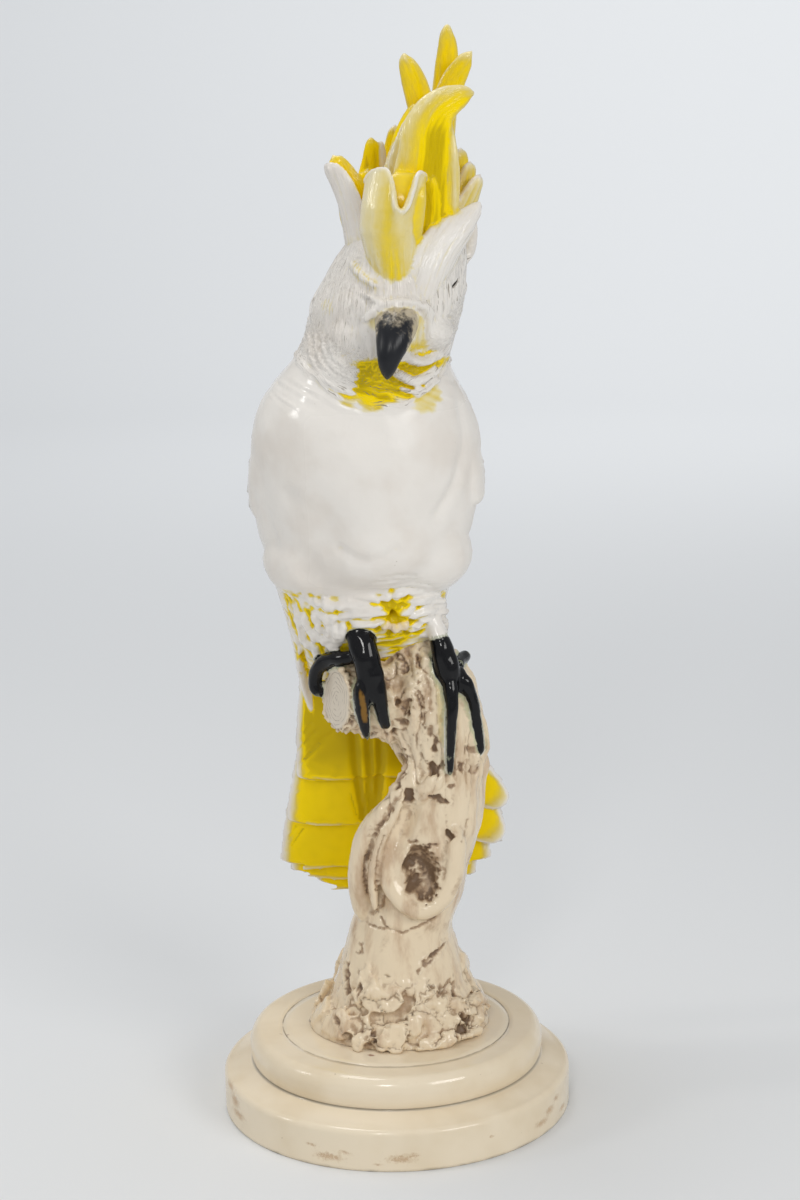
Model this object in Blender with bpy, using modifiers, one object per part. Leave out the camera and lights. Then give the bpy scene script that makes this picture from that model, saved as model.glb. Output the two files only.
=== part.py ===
"""A life-size glazed ceramic cockatoo, perched on a tree trunk, on a round stepped plinth.

The plinth is turned. The bird and its trunk are one piece of clay, and rest on the plinth's flat top.
Lengths are in metres, +Z is up, the bird faces -Y, and the origin is the centre of the underside.
"""

import bmesh
import bpy
import numpy as np
from math import acos, atan2, cos, pi, radians, sin, sqrt
from mathutils import Matrix, Vector

# Driving dimensions, in metres
PLINTH_RADIUS = 0.100  # lower step of the plinth
STEP_SIDE_HEIGHT = 0.0205  # upright side of the lower step
STEP_EDGE_ROUND = 0.0035  # rounded upper edge of the lower step
STEP_TOP_RISE = 0.0047  # rise of the lower step's top, from its rounded edge to the disc
FOOT_CHAMFER = 0.0008  # wiped edge round the underside
DISC_RADIUS = 0.0845  # fullest radius of the upper disc
DISC_HEIGHT = 0.0178  # upper disc, from the lower step to its flat top
DISC_TOP_ROUND = 0.0065  # how far the disc's upper edge rolls inward
DISC_GROOVE = 0.0018  # how far the disc is undercut where it meets the lower step
RING_RADIUS = 0.0656  # incised ring line on the flat top
RING_WIDTH = 0.0014
RING_DEPTH = 0.0007
SEAT_GAP = 0.0003  # between the plinth's top and the trunk's foot
FIGURE_HEIGHT = 0.560  # from the trunk's foot to the tip of the crest

# The figure's forms are shares of its height: a unit is one 560th of it, a millimetre at life size
UNIT = FIGURE_HEIGHT / 560
CLAY_GRAIN = 1.7 * UNIT  # size of the cells in which the forms are fused
SPONGE_PASSES = 5  # how often the fused surface is smoothed
FACE_SHARE = 0.035  # faces kept of the fused surface

PLINTH_SIDES = 60
ARC_STEPS = 4

PLINTH_TOP = STEP_SIDE_HEIGHT + STEP_EDGE_ROUND + STEP_TOP_RISE + DISC_HEIGHT
SEAT = PLINTH_TOP + SEAT_GAP


def clear_scene():
    for item in list(bpy.data.objects):
        bpy.data.objects.remove(item, do_unlink=True)


def collection(name):
    group = bpy.data.collections.new(name)
    bpy.context.scene.collection.children.link(group)
    return group


def glaze(name, colour, roughness):
    material = bpy.data.materials.new(name)
    material.use_nodes = True
    shader = material.node_tree.nodes["Principled BSDF"]
    shader.inputs["Base Color"].default_value = (*colour, 1.0)
    shader.inputs["Roughness"].default_value = roughness
    shader.inputs["Metallic"].default_value = 0.0
    material.diffuse_color = (*colour, 1.0)
    return material


def new_object(name, mesh, group, material=None):
    item = bpy.data.objects.new(name, mesh)
    group.objects.link(item)
    if material:
        mesh.materials.append(material)
    return item


def quarter_arc(centre, across, up, start, end):
    """Points of a quarter ellipse in the profile plane, from one angle to another in degrees."""
    angles = [radians(start + (end - start) * step / ARC_STEPS) for step in range(ARC_STEPS + 1)]
    return [(centre[0] + across * cos(angle), centre[1] + up * sin(angle)) for angle in angles]


def plinth_profile():
    """Half section of the plinth, from the middle of its top out and down to the underside."""
    edge_height = STEP_SIDE_HEIGHT + STEP_EDGE_ROUND
    disc_root = edge_height + STEP_TOP_RISE
    points = [(0.0, PLINTH_TOP)]
    points.append((RING_RADIUS - RING_WIDTH / 2, PLINTH_TOP))
    points.append((RING_RADIUS, PLINTH_TOP - RING_DEPTH))
    points.append((RING_RADIUS + RING_WIDTH / 2, PLINTH_TOP))
    fullest = (DISC_RADIUS, disc_root + DISC_HEIGHT / 2)
    points += quarter_arc((DISC_RADIUS - DISC_TOP_ROUND, fullest[1]), DISC_TOP_ROUND, DISC_HEIGHT / 2, 90, 0)
    points += quarter_arc((DISC_RADIUS - DISC_GROOVE, fullest[1]), DISC_GROOVE, DISC_HEIGHT / 2, 0, -90)[1:]
    edge_centre = (PLINTH_RADIUS - STEP_EDGE_ROUND, STEP_SIDE_HEIGHT)
    points += quarter_arc(edge_centre, STEP_EDGE_ROUND, STEP_EDGE_ROUND, 90, 0)
    points.append((PLINTH_RADIUS, FOOT_CHAMFER))
    points.append((PLINTH_RADIUS - FOOT_CHAMFER, 0.0))
    points.append((0.0, 0.0))
    return points


def make_plinth(group):
    """The turned plinth: its half section spun round by a Screw modifier."""
    profile = bmesh.new()
    verts = [profile.verts.new((radius, 0.0, height)) for radius, height in plinth_profile()]
    for upper, lower in zip(verts, verts[1:]):
        profile.edges.new((upper, lower))
    mesh = bpy.data.meshes.new("plinth")
    profile.to_mesh(mesh)
    profile.free()
    plinth = new_object("plinth", mesh, group, glaze("cream_plinth_glaze", (0.78, 0.66, 0.51), 0.42))
    screw = plinth.modifiers.new("turned", 'SCREW')
    screw.steps = PLINTH_SIDES
    screw.render_steps = PLINTH_SIDES
    screw.use_merge_vertices = True
    screw.merge_threshold = 0.00001
    return plinth


def on_curve(stations, share):
    """A station between hand-set ones, on a smooth curve, and the curve's direction there."""
    points = np.array(stations, dtype=float)
    steps = np.linalg.norm(np.diff(points[:, :3], axis=0), axis=1)
    marks = np.concatenate(([0.0], np.cumsum(steps))) / steps.sum()
    slopes = np.gradient(points, marks, axis=0)
    span = min(int(np.searchsorted(marks, share, side='right')) - 1, len(points) - 2)
    length = marks[span + 1] - marks[span]
    u = (share - marks[span]) / length
    start, end = points[span], points[span + 1]
    pull, push = slopes[span] * length, slopes[span + 1] * length
    value = (2 * u**3 - 3 * u**2 + 1) * start + (u**3 - 2 * u**2 + u) * pull
    value += (3 * u**2 - 2 * u**3) * end + (u**3 - u**2) * push
    slope = (6 * u**2 - 6 * u) * (start - end) + (3 * u**2 - 4 * u + 1) * pull + (3 * u**2 - 2 * u) * push
    return value, Vector(slope[:3]).normalized()


def front_of(stations, x, height):
    """How far forward the surface of an upright form with level sections lies, at x and a height."""
    rising = np.array(sorted(stations, key=lambda station: station[2]), dtype=float)
    middle_x, middle_y, half_width, half_depth = (
        np.interp(height, rising[:, 2], rising[:, column]) for column in (0, 1, 3, 4))
    share = min(0.97, abs(x - middle_x) / half_width)
    return middle_y - half_depth * sqrt(1 - share**2)


def draw_out(clay, stations, across=(1, 0, 0), across_end=None, cup=0.0, ends=0.12, sides=14, rings=18,
             level=False):
    """A ball of clay drawn out along its stations, each (x, y, z, half width, half thickness).

    `across` is the way that the width runs, `cup` bends both long edges to one side, as a share of the
    half width, `ends` is the share of the length that rounds off, 0 for ends cut flat, and `level` keeps
    every section of an upright form level.
    """
    ball = bmesh.ops.create_uvsphere(clay, u_segments=sides, v_segments=rings, radius=1.0)
    first = Vector(across)
    last = Vector(across_end or across)
    for vert in ball["verts"]:
        ring = round(acos(max(-1.0, min(1.0, vert.co.z))) / pi * rings)
        around = atan2(vert.co.y, vert.co.x)
        off_axis = 0 < ring < rings
        share = ring / rings
        swell = 1.0
        if ends:
            near_end = min(1.0, share / ends, (1 - share) / ends)
            swell = sqrt(1 - (1 - near_end) ** 2)
        else:
            share = min(1.0, max(0.0, (ring - 1) / (rings - 2)))
        station, along = on_curve(stations, share)
        if level:
            along = Vector((0, 0, 1))
        width_way = first.lerp(last, share)
        width_way = (width_way - along * width_way.dot(along)).normalized()
        thick_way = along.cross(width_way)
        half_width = station[3] * swell * off_axis
        half_thick = station[4] * swell * off_axis
        place = Vector(station[:3]) + width_way * (half_width * cos(around))
        place += thick_way * (half_thick * sin(around) + cup * station[3] * cos(around) ** 2 * off_axis)
        vert.co = place


def lump(clay, centre, radii, turn=0.0, lean=0.0):
    """A pressed-on lump of clay, turned about the upright axis and leaned about X, in degrees."""
    placed = Matrix.Translation(centre)
    placed @= Matrix.Rotation(radians(turn), 4, 'Z')
    placed @= Matrix.Rotation(radians(lean), 4, 'X')
    placed @= Matrix.Diagonal((*radii, 1.0))
    bmesh.ops.create_uvsphere(clay, u_segments=16, v_segments=12, radius=1.0, matrix=placed)


def roll(clay, points, radius):
    """A thin round roll of clay through the given points."""
    draw_out(clay, [(*point, radius, radius) for point in points], across=(0.2, 0.3, 1), sides=8, rings=12)


# The trunk's stem, from the foot up: x, y, z, half width, half depth
STEM = (
    (2, 2, -6, 53, 47), (2, 2, 3, 51, 46), (4, 2, 11, 44, 42), (4, 2, 24, 39, 37), (4, 2, 42, 33, 33),
    (5, 2, 61, 29, 30), (10, 2, 74, 29, 30), (14, 2, 86, 28, 30), (16, 2, 97, 28, 31), (20, 1, 109, 28, 30),
    (25, 0, 121, 27, 29), (28, 0, 133, 25, 27), (31, 0, 144, 22, 25), (30, 0, 153, 24, 25),
    (27, 0, 168, 27, 26), (25, 0, 182, 28, 27), (22, 0, 198, 28, 26), (19, 2, 214, 23, 22),
    (13, 5, 228, 15, 16), (12, 7, 238, 9, 9),
)

# The cut branch stub, from inside the stem to its cut face, and the strand that climbs the stem's left
BRANCH = ((26, 4, 189, 22, 27), (2, -4, 191, 19, 24), (-18, -12, 197, 17, 19), (-33, -18, 199, 15, 18))
STRAND = (
    (11, -19, 150, 6, 6), (1, -19, 136, 7, 7), (-10, -17, 122, 8, 8), (-16, -14, 108, 8, 9),
    (-18, -13, 93, 8, 9), (-17, -12, 78, 7, 8), (-16, -10, 64, 5, 6),
)

# Slabs of clay pressed round the foot: bearing from the front, half width, half height, reach
FOOT_SLABS = (
    (-75, 12, 13, 42), (-38, 13, 15, 42), (-6, 11, 13, 43), (27, 15, 17, 42), (66, 11, 14, 43),
    (105, 12, 12, 42), (140, 13, 13, 41), (178, 14, 12, 41), (-145, 13, 13, 41), (-112, 12, 12, 42),
    (-20, 9, 25, 36), (11, 8, 23, 37),
)
SLAB_HALF_THICK = 8
SLAB_LEAN = -22


def trunk(clay):
    """The leaning trunk, its cut branch stub, the climbing strand, the swollen knot and the spread foot."""
    draw_out(clay, STEM, ends=0.0, sides=24, rings=44, level=True)
    draw_out(clay, BRANCH, across=(0.37, -0.93, 0), ends=0.0, sides=20, rings=12)
    draw_out(clay, STRAND, ends=0.08)
    lump(clay, (11, -13, 93), (25, 21, 29))
    for bearing, half_width, half_height, reach in FOOT_SLABS:
        rightward, forward = reach * sin(radians(bearing)), 0.94 * reach * cos(radians(bearing))
        centre = (2 + rightward, 2 - forward, 0.75 * half_height)
        lump(clay, centre, (half_width, SLAB_HALF_THICK, half_height), bearing, SLAB_LEAN)


# Body, neck and head, from the belly up: x, y, z, half width, half depth
TORSO = (
    (-14, 30, 212, 26, 14), (-14, 22, 230, 36, 28), (-13, 14, 246, 43, 36), (-13, 8, 257, 50, 45),
    (-13, 4, 274, 54, 50), (-12, 2, 300, 60, 56), (-10, 0, 324, 61, 58), (-9, -2, 344, 58, 55),
    (-9, -4, 361, 51, 50), (-8, -6, 374, 45, 46), (-5, -9, 383, 42, 43), (-1, -10, 394, 41, 42),
    (2, -12, 405, 41, 42), (4, -13, 416, 41, 42), (8, -14, 428, 38, 40), (12, -14, 440, 35, 35),
    (15, -14, 450, 30, 29), (17, -14, 459, 20, 19),
)

# Soft swells of the breast: centre and half sizes
BREAST_SWELLS = (
    ((-8, -16, 287), (44, 40, 30)), ((-38, -8, 276), (30, 34, 24)), ((18, -8, 278), (30, 33, 24)),
)


# The belly under the breast, from its top down: x, y, z, half width, half depth
BELLY = (
    (-12, 0, 268, 44, 38), (-12, 1, 252, 45, 38), (-11, 4, 238, 43, 32), (-10, 12, 222, 39, 26),
    (-9, 24, 200, 36, 13),
)

# The rump behind the belly, down over the root of the tail: x, y, z, half width, half thickness
RUMP = (
    (-11, 6, 300, 34, 26), (-12, 20, 270, 45, 33), (-11, 32, 240, 41, 28), (-10, 43, 208, 37, 20),
    (-8, 53, 175, 33, 11), (-6, 60, 140, 28, 6),
)


def body(clay):
    """Body, neck and head as one drawn-out form, with its swells, and the narrower belly below."""
    draw_out(clay, TORSO, ends=0.0, sides=28, rings=52, level=True)
    draw_out(clay, BELLY, ends=0.0, sides=24, level=True)
    draw_out(clay, RUMP, ends=0.05, sides=20, cup=-0.1)
    for centre, radii in BREAST_SWELLS:
        lump(clay, centre, radii)


def face(clay):
    """Cheeks, brow roll, beak, chin, the crescent rolls beside the beak, and the eyes."""
    lump(clay, (-13, -41, 400), (14, 14, 14))
    lump(clay, (27, -37, 401), (10, 13, 12))
    lump(clay, (9, -46, 412), (14, 11, 10))
    lump(clay, (8, -50, 394), (8, 8, 9))
    for height, bulge in ((413, 3), (421, 2)):
        points = [(x, front_of(TORSO, x, height) - bulge, height + 2 - abs(x - 9) / 8) for x in (-8, 9, 26)]
        roll(clay, points, 4)
    draw_out(clay, [(9, -44, 411, 11, 11), (9, -56, 409, 11, 10), (8, -65, 401, 9, 8), (5, -69, 391, 6, 6),
                    (4, -67, 380, 3, 3)], ends=0.15)
    for drop in (0, 7, 15):
        hang = ((6, 393), (22, 387), (36, 391))
        roll(clay, [(x, front_of(TORSO, x, 388 - drop) - 2, height - drop) for x, height in hang], 4)
    for side in (-1, 1):
        lump(clay, (6 + 37 * side, -15, 424), (4, 7, 5))


def petal(clay, stations, across=(1, 0, 0), cup=0.0):
    draw_out(clay, stations, across=across, cup=cup, ends=0.1, sides=12, rings=14)


def crest(clay):
    """The raised crest: a front cup, a broad curled petal behind it, three tips and the side petals."""
    petal(clay, [(8, -44, 420, 9, 6), (4, -53, 438, 12, 5), (4, -58, 458, 12, 5), (5, -58, 473, 11, 4),
                 (5, -54, 485, 8, 3)], cup=0.5)
    petal(clay, [(13, -44, 420, 9, 6), (15, -53, 438, 10, 5), (20, -56, 458, 9, 5), (24, -55, 473, 7, 4),
                 (26, -52, 484, 4, 3)], cup=0.5)
    roll(clay, [(11, -56, 482), (14, -63, 472), (19, -65, 467), (23, -62, 471), (26, -55, 481)], 3)
    petal(clay, [(17, -22, 440, 15, 9), (21, -32, 462, 18, 7), (23, -36, 481, 17, 6), (25, -37, 498, 15, 5),
                 (28, -36, 511, 13, 5), (37, -33, 519, 9, 5), (51, -29, 523, 5, 4)], cup=-0.35)
    petal(clay, [(14, -24, 450, 8, 5), (12, -30, 476, 8, 5), (15, -30, 501, 7, 4), (22, -29, 520, 4, 3)])
    petal(clay, [(33, -20, 440, 7, 5), (35, -29, 462, 6, 5), (37, -28, 482, 5, 4), (38, -25, 502, 3, 3)])
    petal(clay, [(22, 0, 462, 10, 8), (26, -4, 490, 10, 7), (25, -12, 515, 9, 5), (20, -17, 534, 8, 4),
                 (14, -22, 546, 5, 3)], cup=-0.3)
    petal(clay, [(28, 10, 462, 10, 8), (34, 11, 500, 9, 7), (37, 8, 528, 8, 5), (38, 3, 547, 7, 4),
                 (39, -2, 562, 4, 3)], cup=-0.3)
    petal(clay, [(28, 2, 462, 10, 8), (33, 0, 498, 9, 7), (38, -4, 524, 8, 5), (44, -9, 537, 7, 4),
                 (51, -14, 546, 4, 3)], cup=-0.3)
    petal(clay, [(-4, -16, 428, 12, 7), (-12, -24, 446, 13, 6), (-15, -28, 462, 12, 5), (-19, -30, 477, 10, 4),
                 (-24, -31, 492, 5, 3)], across=(0.75, -0.65, 0), cup=0.4)
    petal(clay, [(0, -14, 440, 9, 6), (-6, -17, 458, 10, 5), (-8, -17, 474, 8, 4), (-9, -16, 485, 4, 3)])
    petal(clay, [(2, -4, 445, 10, 7), (-2, -8, 464, 10, 6), (-2, -10, 480, 8, 5), (0, -12, 491, 5, 3),
                 (2, -14, 501, 3, 3)], cup=-0.2)
    petal(clay, [(10, 8, 450, 10, 7), (9, 10, 478, 8, 5), (9, 9, 495, 6, 4), (10, 6, 509, 3, 3)])
    petal(clay, [(20, -34, 414, 12, 8), (28, -38, 432, 16, 6), (36, -34, 448, 14, 5), (46, -29, 460, 9, 4),
                 (55, -25, 471, 4, 3)], across=(0.8, 0.6, 0.1), cup=0.35)
    for lift, turn in ((0, 0.0), (7, 0.5), (14, 1.0)):
        petal(clay, [(26, -12 + lift, 435, 12, 7), (38, -8 + lift, 454 + lift / 3, 11, 6),
                     (47 - 4 * turn, -5 + lift, 468 + lift / 2, 8, 4),
                     (55 - 10 * turn, -6 + lift, 482 + lift, 4, 3)],
              across=(0.7, 0.7, 0))
    roll(clay, [(40, 8, 430), (48, 10, 440), (50, 11, 452), (46, 9, 466)], 4)
    roll(clay, [(-14, front_of(TORSO, -14, 438) - 2, 438), (-7, front_of(TORSO, -7, 432) - 2, 432),
                (3, front_of(TORSO, 3, 427) - 2, 427)], 4)
    lump(clay, (19, -8, 456), (26, 26, 18))


def wings(clay):
    """Folded wings that wrap the flanks and meet behind the root of the tail."""
    draw_out(clay, [(38, -14, 354, 16, 6), (46, -4, 328, 28, 7), (46, 4, 300, 32, 7), (38, 19, 270, 30, 7),
                    (30, 34, 238, 27, 6), (22, 50, 203, 22, 6), (13, 62, 165, 15, 5), (8, 68, 135, 8, 4)],
             across=(0.1, 1, 0), across_end=(-0.9, 0.4, 0), cup=-0.3, ends=0.08, sides=18, rings=28)
    draw_out(clay, [(-57, -14, 354, 16, 6), (-67, -4, 328, 28, 7), (-67, 5, 300, 32, 7), (-61, 17, 268, 30, 7),
                    (-53, 30, 230, 26, 6), (-42, 47, 192, 22, 6), (-28, 61, 156, 15, 5), (-19, 67, 128, 8, 4)],
             across=(-0.1, 1, 0), across_end=(0.9, 0.4, 0), cup=0.3, ends=0.08, sides=18, rings=28)
    right_bend = [(42, -18, 352, 8, 5), (49, -12, 326, 12, 5), (50, -8, 304, 10, 5)]
    left_bend = [(-62, -16, 350, 8, 5), (-69, -8, 324, 12, 5), (-69, -4, 298, 11, 5)]
    draw_out(clay, right_bend, across=(0.2, 1, 0))
    draw_out(clay, left_bend, across=(-0.2, 1, 0))


# Tiers of the tail, each from root to hem: x, y, z, half width, half thickness
TAIL_TIERS = (
    ((-12, 24, 222, 36, 12), (-9, 34, 185, 44, 8), (-5, 43, 134, 51, 6)),
    ((-8, 40, 165, 46, 7), (-4, 47, 133, 55, 6), (-3, 53, 103, 60, 6)),
    ((-5, 47, 138, 50, 7), (-4, 56, 104, 60, 6), (-4, 62, 73, 64, 5)),
    ((-4, 58, 110, 50, 6), (-5, 64, 84, 56, 5), (-6, 68, 64, 56, 4)),
    ((-4, 64, 100, 44, 6), (-6, 68, 76, 44, 5), (-8, 72, 55, 38, 4)),
)


def tail(clay):
    """The hanging tail: tiers of feathers that overlap downward in front, long feathers behind."""
    for root, middle, hem in TAIL_TIERS:
        draw_out(clay, [root, middle, hem], ends=0.06, sides=20, rings=18, cup=-0.04)
    draw_out(clay, [(36, 44, 140, 16, 5), (57, 49, 122, 11, 4), (68, 52, 113, 5, 3)], across=(0.4, 0, 0.9))
    draw_out(clay, [(36, 50, 118, 18, 5), (55, 55, 100, 13, 4), (65, 57, 89, 5, 3)], across=(0.4, 0, 0.9))
    for x in (-13, -5):
        draw_out(clay, [(x, 36, 178, 4, 5), (x + 1, 41, 150, 5, 5), (x + 3, 47, 120, 3, 4)])
    for feather in range(7):
        spread = feather - 3
        draw_out(clay, [(-8 + 4 * spread, 44, 200, 9, 5), (-5 + 12 * spread, 58, 130, 11, 4),
                        (-4 + 14 * spread, 70 - abs(spread), 78 + 3 * abs(spread), 9, 4)])


# Toes, from the shank to the tip of the claw
TOES = (
    ((-13, -30, 219, 6, 6), (-17, -33, 207, 5, 5), (-15, -32, 193, 5, 5), (-15, -26, 177, 2, 3)),
    ((-6, -29, 219, 6, 6), (-5, -30, 203, 5, 5), (-3, -25, 184, 4, 4)),
    ((-14, -24, 226, 5, 5), (-24, -22, 224, 5, 5), (-34, -14, 219, 5, 5), (-43, -7, 211, 4, 5),
     (-45, -5, 203, 4, 4), (-40, -8, 195, 3, 3)),
    ((37, -20, 210, 5, 5), (36, -23, 189, 4, 5), (36, -23, 171, 4, 5), (32, -25, 153, 2, 3)),
    ((40, -16, 212, 6, 5), (49, -10, 190, 4, 5), (52, -6, 172, 4, 4), (51, -8, 160, 3, 3)),
)


def feet(clay):
    """Two feet gripping the wood: shanks, toes laid down the bark, and their claws."""
    draw_out(clay, [(-17, -14, 244, 7, 7), (-15, -23, 230, 8, 8), (-12, -28, 219, 9, 7), (-11, -28, 208, 7, 6)])
    draw_out(clay, [(27, -10, 240, 5, 5), (33, -15, 222, 7, 7), (38, -17, 209, 8, 7), (38, -18, 198, 6, 6)])
    for toe in TOES:
        draw_out(clay, toe, sides=10, rings=14)
    draw_out(clay, [(38, -10, 213, 4, 4), (43, 0, 215, 3, 3), (44, 7, 215, 4, 4)])


def belly_tufts(clay):
    """Rolls of down across the belly, and tufts that hang beside the left leg."""
    for height in (256, 248, 240):
        across = (-44, -28, -10, 8, 24)
        roll(clay, [(x, front_of(BELLY, x, height) - 1, height - abs(x + 10) / 12) for x in across], 4)
    for x in (-50, -42, -34, -26):
        roll(clay, [(x, front_of(BELLY, x, 246), 248), (x + 3, front_of(BELLY, x, 236), 236),
                    (x + 1, front_of(BELLY, x, 224), 222)], 4)


def cutter(name, group, centre, half_sizes, round_shape):
    """A shape that is taken away from the figure, with its size applied to its mesh."""
    shape = bmesh.new()
    placed = Matrix.Translation(centre) @ Matrix.Diagonal((*half_sizes, 1.0))
    if round_shape:
        bmesh.ops.create_uvsphere(shape, u_segments=14, v_segments=10, radius=1.0, matrix=placed)
    else:
        bmesh.ops.create_cube(shape, size=2.0, matrix=placed)
    mesh = bpy.data.meshes.new(name)
    shape.to_mesh(mesh)
    shape.free()
    item = new_object(name, mesh, group)
    item.hide_render = True
    item.display_type = 'WIRE'
    return item


def make_figure(group, cutters):
    """The bird on its trunk: every form fused into one body, then cut flat where it stands."""
    clay = bmesh.new()
    for form in (trunk, body, face, crest, wings, tail, feet, belly_tufts):
        form(clay)
    bmesh.ops.scale(clay, vec=(UNIT, UNIT, UNIT), verts=clay.verts)
    bmesh.ops.translate(clay, vec=(0, 0, SEAT), verts=clay.verts)
    mesh = bpy.data.meshes.new("cockatoo_on_trunk")
    clay.to_mesh(mesh)
    clay.free()
    figure = new_object("cockatoo_on_trunk", mesh, group, glaze("white_bird_glaze", (0.80, 0.77, 0.72), 0.16))
    fuse = figure.modifiers.new("fused", 'REMESH')
    fuse.mode = 'VOXEL'
    fuse.voxel_size = CLAY_GRAIN
    soften = figure.modifiers.new("wiped with a sponge", 'SMOOTH')
    soften.factor = 0.5
    soften.iterations = SPONGE_PASSES
    thin = figure.modifiers.new("fewer faces", 'DECIMATE')
    thin.ratio = FACE_SHARE
    thin.use_collapse_triangulate = True
    half_block = FIGURE_HEIGHT / 2
    foot = cutter("foot_cut", cutters, (0, 0, SEAT - half_block), (half_block, half_block, half_block), False)
    knot = cutter("knot_hollow", cutters, (15 * UNIT, -35 * UNIT, SEAT + 99 * UNIT),
                  (9 * UNIT, 11 * UNIT, 17 * UNIT), True)
    for shape in (foot, knot):
        cut = figure.modifiers.new(shape.name, 'BOOLEAN')
        cut.operation = 'DIFFERENCE'
        cut.solver = 'EXACT'
        cut.object = shape
    return figure


clear_scene()
parts = collection("ceramic_cockatoo")
cutters = collection("cutters")
make_plinth(parts)
make_figure(parts, cutters)
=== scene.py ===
"""The looks of a life-size glazed ceramic cockatoo, perched on a tree trunk, on its turned plinth.

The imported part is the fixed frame: metres, +Z up, the bird faces -Y, the origin is under the plinth.
The plinth is turned. The bird and its trunk are modelled in one piece of clay, fired, and painted with
glazes: white on the bird, yellow on the crest and tail, cream on the wood, black on the feet and beak.
"""

from math import acos, atan2, cos, exp, pi, radians, sin, sqrt

import bmesh
import bpy
import numpy as np
from mathutils import Matrix, Vector, noise
from mathutils.bvhtree import BVHTree
from mathutils.kdtree import KDTree


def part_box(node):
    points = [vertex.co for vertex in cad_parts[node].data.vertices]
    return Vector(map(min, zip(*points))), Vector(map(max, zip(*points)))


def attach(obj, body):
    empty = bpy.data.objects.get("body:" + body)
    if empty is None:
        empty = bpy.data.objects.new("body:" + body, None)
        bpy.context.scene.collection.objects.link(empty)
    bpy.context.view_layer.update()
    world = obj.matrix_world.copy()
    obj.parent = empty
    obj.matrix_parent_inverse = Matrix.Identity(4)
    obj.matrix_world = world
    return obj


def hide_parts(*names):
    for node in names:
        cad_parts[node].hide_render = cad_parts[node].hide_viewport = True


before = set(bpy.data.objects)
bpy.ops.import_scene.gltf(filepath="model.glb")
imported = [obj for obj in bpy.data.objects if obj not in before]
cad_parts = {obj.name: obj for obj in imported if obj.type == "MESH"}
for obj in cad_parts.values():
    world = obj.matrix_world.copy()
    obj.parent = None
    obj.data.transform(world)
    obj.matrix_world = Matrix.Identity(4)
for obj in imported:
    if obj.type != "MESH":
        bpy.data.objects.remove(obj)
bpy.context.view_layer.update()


# The studio: a round cove of pale paper, whose floor turns up into a low wall on every side. Small soft
# boxes stand at the left and in front, a large one at the right, and wide ones over the figure and
# before the paper behind it.
PAPER_COLOUR = (0.80, 0.81, 0.82)
COVE_FLOOR_RADIUS = 3.0
COVE_BEND_RADIUS = 1.6
WARM_LIGHT = (1.0, 0.985, 0.96)


def add_node(tree, kind, **settings):
    made = tree.nodes.new(kind)
    for name, value in settings.items():
        setattr(made, name, value)
    return made


def feed(tree, target, source):
    """Links a socket to an input, or sets the input's own value."""
    if isinstance(source, bpy.types.NodeSocket):
        tree.links.new(source, target)
    else:
        target.default_value = source


def new_material(name):
    material = bpy.data.materials.new(name)
    material.use_nodes = True
    return material, material.node_tree, material.node_tree.nodes["Principled BSDF"]


def paper_cove():
    paper = bmesh.new()
    line = [(0.0, 0.0), (COVE_FLOOR_RADIUS, 0.0)]
    for step in range(1, 17):
        angle = radians(60 * step / 16)
        line.append((COVE_FLOOR_RADIUS + COVE_BEND_RADIUS * sin(angle), COVE_BEND_RADIUS * (1 - cos(angle))))
    verts = [paper.verts.new((radius, 0.0, height)) for radius, height in line]
    edges = [paper.edges.new(pair) for pair in zip(verts, verts[1:])]
    bmesh.ops.spin(paper, geom=verts + edges, cent=(0, 0, 0), axis=(0, 0, 1), angle=2 * pi, steps=96,
                   use_merge=True)
    bmesh.ops.remove_doubles(paper, verts=paper.verts, dist=0.0001)
    bmesh.ops.recalc_face_normals(paper, faces=paper.faces)
    mesh = bpy.data.meshes.new("paper_cove")
    paper.to_mesh(mesh)
    paper.free()
    mesh.polygons.foreach_set("use_smooth", [True] * len(mesh.polygons))
    cove = bpy.data.objects.new("paper_cove", mesh)
    bpy.context.scene.collection.objects.link(cove)
    material, tree, shader = new_material("pale_paper")
    shader.inputs["Base Color"].default_value = (*PAPER_COLOUR, 1.0)
    shader.inputs["Roughness"].default_value = 0.9
    shader.inputs["Specular IOR Level"].default_value = 0.1
    mesh.materials.append(material)
    return cove


def soft_light(name, place, aim, width, height, power, colour=WARM_LIGHT):
    light = bpy.data.lights.new(name, 'AREA')
    light.shape = 'RECTANGLE'
    light.size = width
    light.size_y = height
    light.energy = power
    light.color = colour
    lamp = bpy.data.objects.new(name, light)
    lamp.location = place
    lamp.rotation_euler = (Vector(aim) - Vector(place)).to_track_quat('-Z', 'Y').to_euler()
    bpy.context.scene.collection.objects.link(lamp)


paper_cove()
soft_light("left_softbox", (-1.85, -0.30, 1.12), (-0.04, 0, 0.40), 0.24, 0.36, 3.8)
soft_light("front_softbox", (-0.35, -2.05, 1.40), (0, 0, 0.28), 0.34, 0.28, 7.0)
soft_light("right_softbox", (1.35, -1.55, 1.20), (0, 0, 0.25), 1.00, 0.60, 14.0)
soft_light("top_panel", (-0.35, 0.15, 1.75), (0, 0, 0.2), 0.9, 0.55, 7.5, (1.0, 0.99, 0.97))
soft_light("wall_light", (0.7, 2.2, 2.4), (0.3, 4.4, 0.4), 2.2, 0.8, 39.0, (0.98, 0.99, 1.0))

world = bpy.data.worlds.new("pale_room")
world.use_nodes = True
world.node_tree.nodes["Background"].inputs["Color"].default_value = (0.95, 0.975, 1.0, 1.0)
world.node_tree.nodes["Background"].inputs["Strength"].default_value = 0.45
bpy.context.scene.world = world
bpy.context.scene.view_settings.view_transform = 'Standard'

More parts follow.
